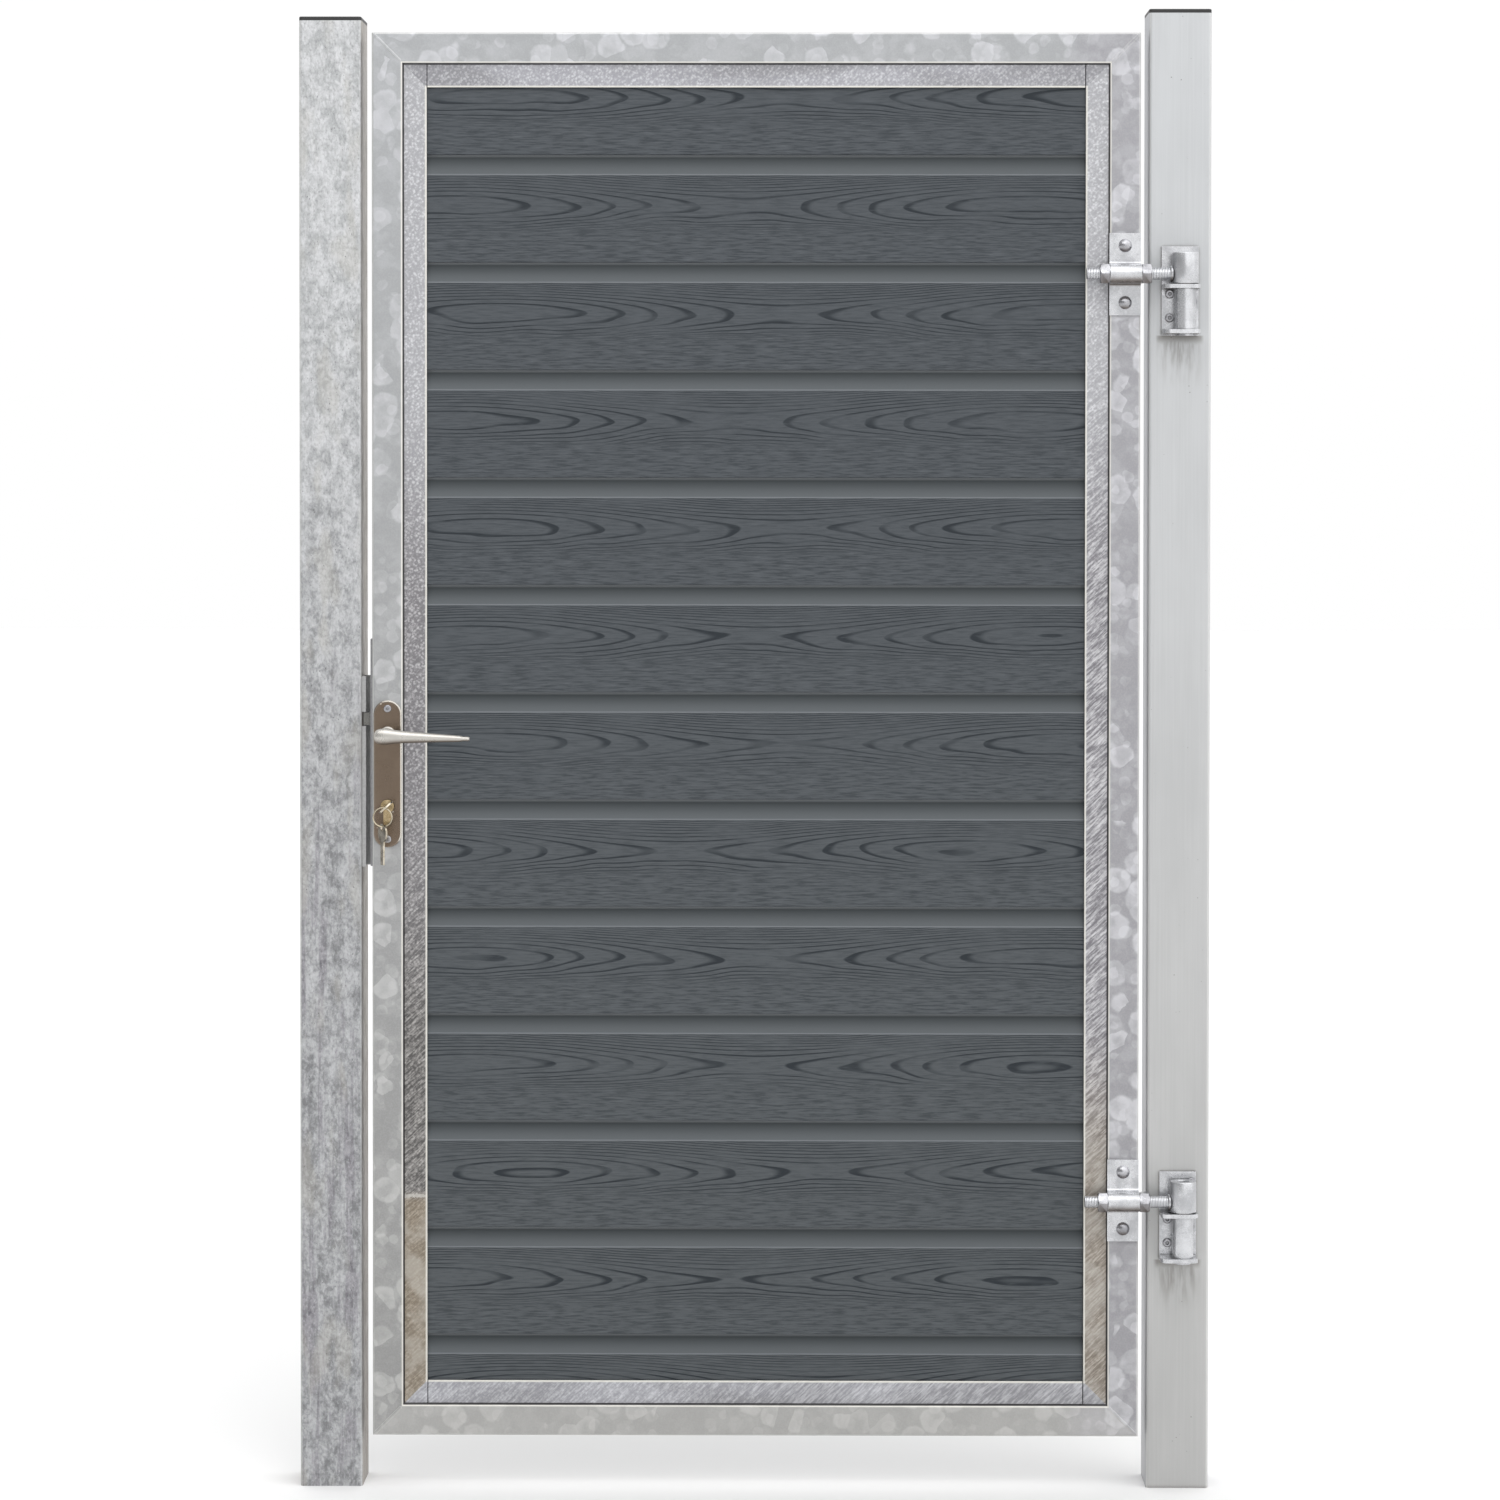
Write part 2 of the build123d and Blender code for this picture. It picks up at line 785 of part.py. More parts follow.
def boards():
    """Every board from the bottom up: the first is cut at its foot, the last at its top."""
    left = infill_left + channel_wall + board_end_play
    right = infill_right - channel_wall - board_end_play
    whole = extrude_x(Pos(leaf_mid, 0) * board_outline(), left, right)
    lines = board_joint_lines()
    floor = infill_bottom + channel_wall
    ceiling = infill_top - channel_wall - board_end_play
    feet = [lines[0] - board_pitch] + lines
    made = []
    for foot in feet:
        low = max(foot, floor)
        high = min(foot + board_pitch + tongue_height + 1, ceiling)
        window = block(
            (left - 1, leaf_mid - board_thickness, low),
            (right + 1, leaf_mid + board_thickness, high),
        )
        made.append((Pos(0, 0, foot) * whole) & window)
    return made


# Hinges on the leaf


def saddle(rod_z):
    """The clamp plate on the hinge stile, with a half-round boss bored for the rod."""
    rod_stand_off = pin_forward - leaf_forward
    outline = Pos(-saddle_thickness / 2, 0) * Rectangle(saddle_thickness, saddle_height)
    outline += Pos(-rod_stand_off / 2, 0) * Rectangle(rod_stand_off, 2 * saddle_boss_radius)
    outline += Pos(-rod_stand_off, 0) * Circle(saddle_boss_radius)
    at_root = lambda v: abs(v.X + saddle_thickness) < near and abs(v.Y) < saddle_boss_radius + near
    outline = fillet(outline.vertices().filter_by(at_root), saddle_fillet)
    outline -= Pos(-rod_stand_off, 0) * Circle(rod_radius + saddle_bore_clearance)
    clamp = extrude_x(Pos(leaf_front, rod_z) * outline, leaf_right - tube_size, leaf_right)
    for x, z in carriage_bolt_centres():
        radius = carriage_bolt_radius + screw_hole_clearance
        clamp -= bar((x, leaf_front - saddle_thickness - 1, z), along_y, radius, saddle_thickness + 2)
    return clamp


def eye_bolt(rod_z):
    """The threaded rod with a barrel at its end that turns on the pin."""
    start = leaf_right - tube_size - rod_end_beyond_stile
    rod = bar((start, pin_y, rod_z), along_x, rod_radius, pin_x - start)
    rod = chamfer(rod.edges().sort_by(Axis.X)[0], rod_end_chamfer)
    bottom = barrel_bottom_of(rod_z)
    barrel = bar((pin_x, pin_y, bottom), along_z, barrel_radius, barrel_height)
    barrel = fillet(barrel.edges().filter_by(GeomType.CIRCLE), barrel_edge_radius)
    bore = bar((pin_x, pin_y, bottom - 1), along_z, pin_radius + pin_running_clearance, barrel_height + 2)
    return rod + barrel - bore


def adjusting_nuts():
    nuts = []
    for rod_z in rod_heights:
        for x in (leaf_right - tube_size - nut_thickness, leaf_right):
            place = (x, pin_y, rod_z)
            hole_radius = rod_radius + thread_clearance
            nuts.append(hex_nut(place, along_x, nut_across_flats, nut_thickness, hole_radius))
    return nuts


def carriage_bolts():
    seat_y = leaf_front - saddle_thickness
    tail = washer_thickness + carriage_nut_thickness + carriage_bolt_tail
    length = leaf_back + tail - seat_y
    sphere_radius = (carriage_head_radius**2 + carriage_head_height**2) / (2 * carriage_head_height)
    bolts = []
    for x, z in carriage_bolt_centres():
        dome = Pos(x, seat_y - carriage_head_height + sphere_radius, z) * Sphere(sphere_radius)
        reach = carriage_head_radius + 1
        dome &= block((x - reach, seat_y - sphere_radius, z - reach), (x + reach, seat_y, z + reach))
        bolts.append(dome + bar((x, seat_y, z), along_y, carriage_bolt_radius, length))
    return bolts


def carriage_nuts():
    solids = []
    for x, z in carriage_bolt_centres():
        hole_radius = carriage_bolt_radius + thread_clearance
        washer = bar((x, leaf_back, z), along_y, washer_radius, washer_thickness)
        washer -= bar((x, leaf_back - 1, z), along_y, hole_radius, washer_thickness + 2)
        seat = (x, leaf_back + washer_thickness, z)
        solids.append(washer)
        solids.append(
            hex_nut(seat, along_y, carriage_nut_across_flats, carriage_nut_thickness, hole_radius)
        )
    return solids


# Lock


def bolt_opening(low_z, high_z, left, right):
    """The clearance cut that a bolt slides through."""
    gap = bolt_clearance
    return block((left, bolt_front - gap, low_z - gap), (right, bolt_back + gap, high_z + gap))


def cylinder_screw_face():
    return (faceplate_left, leaf_mid, cylinder_z - cylinder_screw_drop)


def faceplate():
    half = faceplate_width / 2
    plate = block(
        (faceplate_left, leaf_mid - half, faceplate_bottom),
        (leaf_left, leaf_mid + half, faceplate_top),
    )
    plate = fillet(plate.edges().filter_by(Axis.X), faceplate_corner_radius)
    plate -= bolt_opening(latch_bottom, latch_top, faceplate_left - 1, leaf_left + 1)
    plate -= bolt_opening(dead_bolt_bottom, dead_bolt_top, faceplate_left - 1, leaf_left + 1)
    for place in faceplate_screw_faces() + [cylinder_screw_face()]:
        plate -= countersink(
            place,
            along_x,
            small_screw_radius,
            faceplate_thickness + 1,
            small_screw_head_radius,
            small_screw_head_depth,
        )
    return plate


def faceplate_screws():
    return [
        countersunk_screw(
            place,
            along_x,
            small_screw_radius,
            faceplate_screw_length,
            small_screw_head_radius,
            small_screw_head_depth,
        )
        for place in faceplate_screw_faces()
    ]


def cylinder_screw():
    return countersunk_screw(
        cylinder_screw_face(),
        along_x,
        small_screw_radius,
        cylinder_screw_length,
        small_screw_head_radius,
        small_screw_head_depth,
    )


def through_holes(shape):
    """Cut a lock plate for the follower's boss and for the cylinder."""
    radius = follower_boss_radius + plug_clearance * 2
    shape -= bar((lock_x, case_front - 1, lever_z), along_y, radius, case_thickness + 2)
    outline = cylinder_outline(cylinder_cut_clearance)
    return shape - at_cylinder(outline, case_front - 1, case_back + 1)


def lock_case():
    """The lock's box, open towards the faceplate and the cover."""
    lid_front = case_back - case_wall
    box = block((leaf_left, case_front, case_bottom), (case_right, lid_front, case_top))
    box -= block(
        (leaf_left - 1, case_front + case_wall, case_bottom + case_wall),
        (case_right - case_wall, lid_front + 1, case_top - case_wall),
    )
    return through_holes(box)


def lock_cover():
    lid_front = case_back - case_wall
    lid = block((leaf_left, lid_front, case_bottom), (case_right, case_back, case_top))
    return through_holes(lid)


def follower():
    """The hub that the spindle turns, with an arm that draws the latch back."""
    hub_front = case_front + case_wall + follower_clearance
    hub_back = case_back - case_wall - follower_clearance
    hub = bar((lock_x, hub_front, lever_z), along_y, follower_radius, hub_back - hub_front)
    hub += bar((lock_x, case_front, lever_z), along_y, follower_boss_radius, case_thickness)
    half_width = follower_arm_width / 2
    half_depth = follower_arm_thickness / 2
    hub += block(
        (lock_x - half_width, leaf_mid - half_depth, lever_z),
        (lock_x + half_width, leaf_mid + half_depth, lever_z + follower_arm_reach),
    )
    half_hole = spindle_width / 2 + square_clearance
    return hub - block(
        (lock_x - half_hole, case_front - 1, lever_z - half_hole),
        (lock_x + half_hole, case_back + 1, lever_z + half_hole),
    )


def spindle():
    half = spindle_width / 2
    front = leaf_front - spindle_socket_depth
    back = leaf_back + spindle_socket_depth
    return block((lock_x - half, front, lever_z - half), (lock_x + half, back, lever_z + half))


def latch_hook_face():
    """The face of the latch's hook that the follower's arm pushes."""
    return lock_x + follower_arm_width / 2 + latch_hook_gap


def latch_bolt():
    tip = faceplate_left - latch_projection
    hook = latch_hook_face()
    tail = hook + latch_hook_thickness
    bolt = block((tip, bolt_front, latch_bottom), (tail, bolt_back, latch_top))
    bolt -= block(
        (hook - latch_slot_width, bolt_front - 1, latch_bottom - 1),
        (hook, bolt_back + 1, latch_bottom + latch_slot_height),
    )
    bevel = outline_of(
        [
            (tip - 1, bolt_front + latch_nose),
            (tip, bolt_front + latch_nose),
            (faceplate_left - latch_bevel_inset, bolt_back),
            (faceplate_left - latch_bevel_inset, bolt_back + 1),
            (tip - 1, bolt_back + 1),
        ]
    )
    bolt -= extrude_z(bevel, latch_bottom - 1, latch_top + 1)
    bore = (tail - latch_bore_depth, leaf_mid, latch_bore_z)
    return bolt - bar(bore, along_x, latch_spring_bore_radius, latch_bore_depth + 1)


def latch_spring():
    start = latch_hook_face() + latch_hook_thickness - latch_bore_depth
    length = case_right - case_wall - start - 2 * latch_spring_wire_radius
    pitch = length / latch_spring_turns
    coil = Helix(pitch, length, latch_spring_radius)
    section = Plane(origin=coil @ 0, z_dir=coil % 0) * Circle(latch_spring_wire_radius)
    spring = sweep(section, path=coil, is_frenet=True)
    place = Plane(origin=(start + latch_spring_wire_radius, leaf_mid, latch_bore_z), z_dir=along_x)
    return place * spring


def dead_bolt():
    right = faceplate_left + dead_bolt_length
    bolt = block((faceplate_left, bolt_front, dead_bolt_bottom), (right, bolt_back, dead_bolt_top))
    return chamfer(bolt.faces().sort_by(Axis.X)[0].edges(), dead_bolt_chamfer)


def cylinder_body():
    """The fixed part of the double profile cylinder, cut away at its middle for the cam."""
    body = at_cylinder(cylinder_outline(0), cylinder_front, cylinder_back)
    bore_length = cylinder_back - cylinder_front + 2
    centre_front = (lock_x, cylinder_front - 1, cylinder_z)
    body -= bar(centre_front, along_y, plug_radius + plug_clearance, bore_length)
    half = cam_width / 2 + cam_clearance
    sweep_radius = cam_reach + 2 * cam_clearance
    body -= bar((lock_x, leaf_mid - half, cylinder_z), along_y, sweep_radius, 2 * half)
    screw_z = cylinder_z - cylinder_screw_drop
    hole_radius = small_screw_radius + screw_hole_clearance
    screw_start = (lock_x - cylinder_tab_width, leaf_mid, screw_z)
    return body - bar(screw_start, along_x, hole_radius, 2 * cylinder_tab_width)


def keyway(low, high):
    """The slot in the plug, turned as the key is."""
    slot = Rectangle(key_thickness + 2 * keyway_clearance, key_blade_height + 2 * keyway_clearance)
    return at_cylinder(Rot(0, 0, -key_turn) * slot, low, high)


def plug():
    """The plug with the cam at its middle, keyed from both ends."""
    front = cylinder_front - plug_proud
    back = cylinder_back + plug_proud
    body = bar((lock_x, front, cylinder_z), along_y, plug_radius, back - front)
    half = cam_width / 2
    nose = Pos(0, -cam_reach / 2) * Rectangle(cam_nose_width, cam_reach)
    cam = (Circle(cam_hub_radius) + nose) & Circle(cam_reach)
    body += at_cylinder(cam, leaf_mid - half, leaf_mid + half)
    depth = key_blade_length + keyway_clearance
    body -= keyway(front - 1, front + depth)
    return body - keyway(back - depth, back + 1)


def key_shape():
    """A flat key in its own frame: (across, along), its shoulder at 0, its bow upwards."""
    bow_middle = key_neck_length + key_bow_radius
    outline = Pos(0, bow_middle) * Circle(key_bow_radius)
    neck_length = key_neck_length + key_bow_radius
    outline += Pos(0, neck_length / 2) * Rectangle(key_neck_height, neck_length)
    outline += Pos(0, -key_blade_length / 2) * Rectangle(key_blade_height, key_blade_length)
    outline -= Pos(0, bow_middle + key_hole_offset) * Circle(key_hole_radius)
    half = key_thickness / 2
    return extrude(Pos(0, 0, -half) * outline, key_thickness)


def key_hole_from_shoulder():
    return key_neck_length + key_bow_radius + key_hole_offset


def key():
    """The key in the lock, its bow towards the front."""
    shoulder = cylinder_front - plug_proud
    across = (math.sin(math.radians(key_turn)), 0, math.cos(math.radians(key_turn)))
    normal = (math.cos(math.radians(key_turn)), 0, -math.sin(math.radians(key_turn)))
    return Plane(origin=(lock_x, shoulder, cylinder_z), x_dir=across, z_dir=normal) * key_shape()


def ring_grip():
    """Where the ring's wire passes through the key's hole."""
    shoulder = cylinder_front - plug_proud
    slack = key_hole_radius - ring_wire_radius - ring_touch_clearance - key_thickness / 2
    turn = math.radians(key_turn)
    return (
        lock_x - slack * math.sin(turn),
        shoulder - key_hole_from_shoulder(),
        cylinder_z - slack * math.cos(turn),
    )


def ring_centre():
    x, y, z = ring_grip()
    lean = math.radians(ring_hang)
    return (x - ring_radius * math.sin(lean), y, z - ring_radius * math.cos(lean))


def key_ring():
    return Plane(origin=ring_centre(), z_dir=along_y) * Torus(ring_radius, ring_wire_radius)


def spare_grip():
    """The ring's lowest point, where the spare key hangs."""
    x, y, z = ring_centre()
    return (x, y, z - ring_radius)


def spare_key():
    """The second key, hanging from the ring with its blade down."""
    x, y, z = spare_grip()
    hang = key_hole_radius - ring_wire_radius - ring_touch_clearance / 2
    shoulder_z = z - hang - key_hole_from_shoulder()
    twist = math.radians(spare_key_twist)
    across = (-math.sin(twist), math.cos(twist), 0)
    normal = (math.cos(twist), math.sin(twist), 0)
    return Plane(origin=(x, y, shoulder_z), x_dir=across, z_dir=normal) * key_shape()


# Furniture


def escutcheon(low, high):
    """A round-ended plate over the stile, pierced for the lever and the cylinder."""
    plate = Pos(lock_x, 0, escutcheon_mid_z) * extrude_y(
        SlotOverall(escutcheon_height, escutcheon_width, rotation=90), low, high
    )
    outer = plate.faces().sort_by(Axis.Y)[0 if low < leaf_front else -1]
    plate = fillet(outer.edges(), escutcheon_edge_radius)
    neck_hole = lever_neck_radius + lever_neck_clearance
    length = high - low + 2
    plate -= bar((lock_x, low - 1, lever_z), along_y, neck_hole, length)
    plate -= at_cylinder(cylinder_outline(cylinder_cut_clearance), low - 1, high + 1)
    for place, direction in escutcheon_screw_seats():
        hole_radius = small_screw_radius + screw_hole_clearance
        plate -= bar((place[0], low - 1, place[2]), along_y, hole_radius, length)
    return plate


def escutcheon_screws():
    return [
        socket_screw(
            place,
            direction,
            small_screw_radius,
            escutcheon_screw_length,
            small_screw_head_radius,
            escutcheon_screw_head_height,
            escutcheon_screw_edge_radius,
            (escutcheon_screw_socket_radius, escutcheon_screw_socket_depth),
        )
        for place, direction in escutcheon_screw_seats()
    ]


def lever_sections():
    """The grip's sections: place along it, half-thickness in Y and half-height in Z."""
    nose = [(-share * lever_nose, half_y, half_z) for share, half_y, half_z in lever_nose_sections]
    grip = [(share * lever_length, half_y, half_z) for share, half_y, half_z in lever_grip_sections]
    return nose + grip


def lever(seat_y, outwards):
    """A lever handle: a round neck out of the escutcheon and a grip that tapers to its tip."""
    grip_y = seat_y + outwards * lever_projection
    wires = []
    for along, half_y, half_z in lever_sections():
        place = Plane(origin=(lock_x + along, grip_y, lever_z), x_dir=along_y, z_dir=along_x)
        wires.append(place * Ellipse(half_y, half_z))
    grip = loft(wires)
    inner_end = seat_y - outwards * escutcheon_thickness
    length = lever_projection + escutcheon_thickness
    neck = bar((lock_x, inner_end, lever_z), (0, outwards, 0), lever_neck_radius, length)
    half_hole = spindle_width / 2 + square_clearance
    end_y = inner_end + outwards * (spindle_socket_depth + square_clearance)
    socket_front = min(inner_end - outwards, end_y)
    socket_back = max(inner_end - outwards, end_y)
    handle = grip + neck
    handle -= block(
        (lock_x - half_hole, socket_front, lever_z - half_hole),
        (lock_x + half_hole, socket_back, lever_z + half_hole),
    )
    screw_y = inner_end + outwards * set_screw_from_end
    bore = set_screw_radius + screw_hole_clearance
    return handle - bar((lock_x, screw_y, lever_z), downwards, bore, lever_neck_radius + 1)


def set_screws():
    """Grub screws that hold the levers on the spindle."""
    solids = []
    top = lever_z - spindle_width / 2
    length = lever_neck_radius - spindle_width / 2 - set_screw_recess
    for screw_y in (leaf_front - set_screw_from_end, leaf_back + set_screw_from_end):
        solids.append(bar((lock_x, screw_y, top), downwards, set_screw_radius, length))
    return solids


# Assembly


def nodes():
    """Every named piece: one solid each, or a list of separate identical fasteners."""
    upper, lower = rod_heights
    made = {
        "latch_post": latch_post(),
        "hinge_post": hinge_post(),
        "latch_post_cap": post_cap(latch_post_face, -1, latch_post_top),
        "hinge_post_cap": post_cap(hinge_post_face, 1, hinge_post_top),
        "keep_plate": keep(),
        "keep_screws": keep_screws(),
        "upper_post_bracket": post_bracket(upper),
        "lower_post_bracket": post_bracket(lower),
        "hinge_pins": [hinge_pin(rod_z) for rod_z in rod_heights],
        "post_bracket_screws": bracket_screws(),
        "latch_stile": latch_stile(),
        "hinge_stile": hinge_stile(),
        "top_rail": rivet_cuts(mitred_tube(False, False), level_rivets()),
        "bottom_rail": mitred_tube(False, True),
        "latch_side_channel": upright_channel(True),
        "hinge_side_channel": upright_channel(False),
        "top_channel": level_channel(False),
        "bottom_channel": level_channel(True),
        "channel_rivets": rivets(),
        "upper_saddle": saddle(upper),
        "lower_saddle": saddle(lower),
        "upper_eye_bolt": eye_bolt(upper),
        "lower_eye_bolt": eye_bolt(lower),
        "adjusting_nuts": adjusting_nuts(),
        "carriage_bolts": carriage_bolts(),
        "carriage_nuts": carriage_nuts(),
        "lock_case": lock_case(),
        "lock_cover": lock_cover(),
        "lock_faceplate": faceplate(),
        "faceplate_screws": faceplate_screws(),
        "front_escutcheon": escutcheon(escutcheon_front, leaf_front),
        "rear_escutcheon": escutcheon(leaf_back, escutcheon_back),
        "escutcheon_screws": escutcheon_screws(),
        "cylinder_body": cylinder_body(),
        "cylinder_screw": cylinder_screw(),
        "front_lever": lever(escutcheon_front, -1),
        "rear_lever": lever(escutcheon_back, 1),
        "lever_spindle": spindle(),
        "lever_set_screws": set_screws(),
        "lock_follower": follower(),
        "latch_bolt": latch_bolt(),
        "latch_spring": latch_spring(),
        "dead_bolt": dead_bolt(),
        "cylinder_plug": plug(),
        "lock_key": key(),
        "key_ring": key_ring(),
        "spare_key": spare_key(),
    }
    for number, board in enumerate(boards(), start=1):
        made[f"board_{number:02d}"] = board
    return made


os.makedirs("parts", exist_ok=True)
for name, shape in nodes().items():
    whole = Compound(children=shape) if isinstance(shape, list) else shape
    export_step(whole, f"parts/{name}.step")
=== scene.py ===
import json
import math

import bmesh
import bpy
from mathutils import Euler, Matrix, Vector


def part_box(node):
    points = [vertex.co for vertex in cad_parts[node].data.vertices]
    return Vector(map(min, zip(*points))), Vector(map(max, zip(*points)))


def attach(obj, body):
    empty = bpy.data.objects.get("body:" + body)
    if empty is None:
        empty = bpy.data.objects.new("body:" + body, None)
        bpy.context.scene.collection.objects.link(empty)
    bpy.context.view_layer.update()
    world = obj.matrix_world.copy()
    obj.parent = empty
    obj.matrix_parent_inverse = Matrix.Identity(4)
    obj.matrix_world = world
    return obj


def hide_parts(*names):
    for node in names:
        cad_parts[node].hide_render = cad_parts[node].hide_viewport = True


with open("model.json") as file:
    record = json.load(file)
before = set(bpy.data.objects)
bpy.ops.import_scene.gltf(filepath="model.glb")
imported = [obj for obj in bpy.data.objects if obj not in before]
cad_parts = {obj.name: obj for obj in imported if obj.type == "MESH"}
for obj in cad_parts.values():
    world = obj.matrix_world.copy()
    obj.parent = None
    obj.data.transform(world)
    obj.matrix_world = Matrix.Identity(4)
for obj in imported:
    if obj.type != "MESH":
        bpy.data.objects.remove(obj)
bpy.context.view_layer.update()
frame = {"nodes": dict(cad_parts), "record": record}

nodes = frame["nodes"]
joint_places = {joint["name"]: joint.get("pos_m") for joint in frame["record"]["behaviour"]["joints"]}

# Places that the pieces and the patterns start from, all read off the frame
leaf_low = Vector(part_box("latch_stile")[0])
leaf_high = Vector(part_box("hinge_stile")[1])
infill_low = Vector(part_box("latch_side_channel")[0])
infill_high = Vector(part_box("hinge_side_channel")[1])
post_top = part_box("latch_post")[1][2]
board_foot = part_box("board_02")[0][2]
board_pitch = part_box("board_03")[0][2] - board_foot
saddle_low, saddle_high = (Vector(corner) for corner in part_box("upper_saddle"))
eye_low, eye_high = (Vector(corner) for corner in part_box("upper_eye_bolt"))
hinge_drop = eye_low.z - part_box("lower_eye_bolt")[0][2]
rod_height = (saddle_low.z + saddle_high.z) / 2
pin_x, pin_y, _ = joint_places["leaf_hinge"]
spindle_x, _, spindle_z = joint_places["lever_turn"]

# Sizes in metres that the frame doesn't name
bevel_band = 0.026
channel_width = 0.028
seam_edge = 0.001
rod_radius = 0.008
rod_pitch = 0.002
barrel_bore_radius = 0.0081
adjusting_nut_size = 0.024
rear_nut_size = 0.013
washer_radius = 0.008
washer_thickness = 0.0016

quarter_turn = math.radians(90.0)
turned_to = {"X": (0.0, quarter_turn, 0.0), "Y": (quarter_turn, 0.0, 0.0)}

# How much brighter than its own colour a surface that faces the viewer looks in the studio's light
light_level = 1.12


# Camera and studio


def camera():
    """A long lens at chest height beside the middle of the gate, shifted down to frame the posts."""
    tilt_down, turn_left, roll = 0.0196, 0.0063, 0.0009
    lens = bpy.data.cameras.new("camera")
    lens.sensor_width = 36.0
    lens.lens = 104.85
    lens.shift_x = -0.0173
    lens.shift_y = -0.1297
    lens.clip_end = 100.0
    eye = bpy.data.objects.new("camera", lens)
    eye.location = (0.0626, -5.6, 1.3093)
    aim = Euler((quarter_turn - tilt_down, 0.0, turn_left)).to_matrix()
    eye.rotation_euler = (aim @ Matrix.Rotation(roll, 3, "Z")).to_euler()
    bpy.context.collection.objects.link(eye)
    bpy.context.scene.camera = eye
    bpy.context.scene.view_settings.view_transform = "Standard"


def floor():
    """A plain pale floor."""
    bpy.ops.mesh.primitive_plane_add(size=60.0, location=(0.0, 0.0, 0.0))
    ground = bpy.context.object
    ground.name = "floor"
    paint = Finish("floor_paint", roughness=0.9)
    grain = paint.noise(paint.place(), scale=0.4, detail=2.0)
    paint.colour(paint.mix(grain, (0.79, 0.79, 0.79, 1.0), (0.81, 0.81, 0.81, 1.0)))
    ground.data.materials.append(paint.material)


def sky():
    """A white dome, brighter overhead, shaded behind the viewer's left and bright behind the right."""
    overhead_level, shaded_level, bright_level = 1.6, 0.30, 1.35
    world = bpy.data.worlds.new("sky")
    world.use_nodes = True
    tree = world.node_tree
    background = tree.nodes["Background"]
    directions = tree.nodes.new("ShaderNodeTexCoord")
    split = tree.nodes.new("ShaderNodeSeparateXYZ")
    tree.links.new(directions.outputs["Generated"], split.inputs[0])

    def ramp(source, start, end, low, high):
        node = tree.nodes.new("ShaderNodeMapRange")
        node.interpolation_type = "SMOOTHSTEP"
        tree.links.new(source, node.inputs["Value"])
        for name, value in (("From Min", start), ("From Max", end), ("To Min", low), ("To Max", high)):
            node.inputs[name].default_value = value
        return node.outputs["Result"]

    def times(first, second):
        node = tree.nodes.new("ShaderNodeMath")
        node.operation = "MULTIPLY"
        tree.links.new(first, node.inputs[0])
        tree.links.new(second, node.inputs[1])
        return node.outputs[0]

    to_the_right, away, up = split.outputs
    rise = ramp(up, 0.0, 1.0, 1.0, overhead_level)
    shaded = times(ramp(away, 0.05, -0.15, 0.0, 1.0), ramp(to_the_right, 0.15, -0.45, 0.0, 1.0))
    level = times(rise, ramp(shaded, 0.0, 1.0, 1.0, shaded_level))
    bright = times(ramp(away, 0.0, -0.3, 0.0, 1.0), ramp(to_the_right, -0.2, 0.2, 0.0, 1.0))
    level = times(level, ramp(bright, 0.0, 1.0, 1.0, bright_level))
    tree.links.new(level, background.inputs["Strength"])
    background.inputs["Color"].default_value = (1.0, 1.0, 1.0, 1.0)
    bpy.context.scene.world = world


def softbox(name, location, target, size, watts):
    """A large area light aimed at a point."""
    light = bpy.data.lights.new(name, "AREA")
    light.shape = "RECTANGLE"
    light.size, light.size_y = size
    light.energy = watts
    lamp = bpy.data.objects.new(name, light)
    lamp.location = location
    aim = Vector(target) - Vector(location)
    lamp.rotation_euler = aim.to_track_quat("-Z", "Y").to_euler()
    bpy.context.collection.objects.link(lamp)


# Finishes


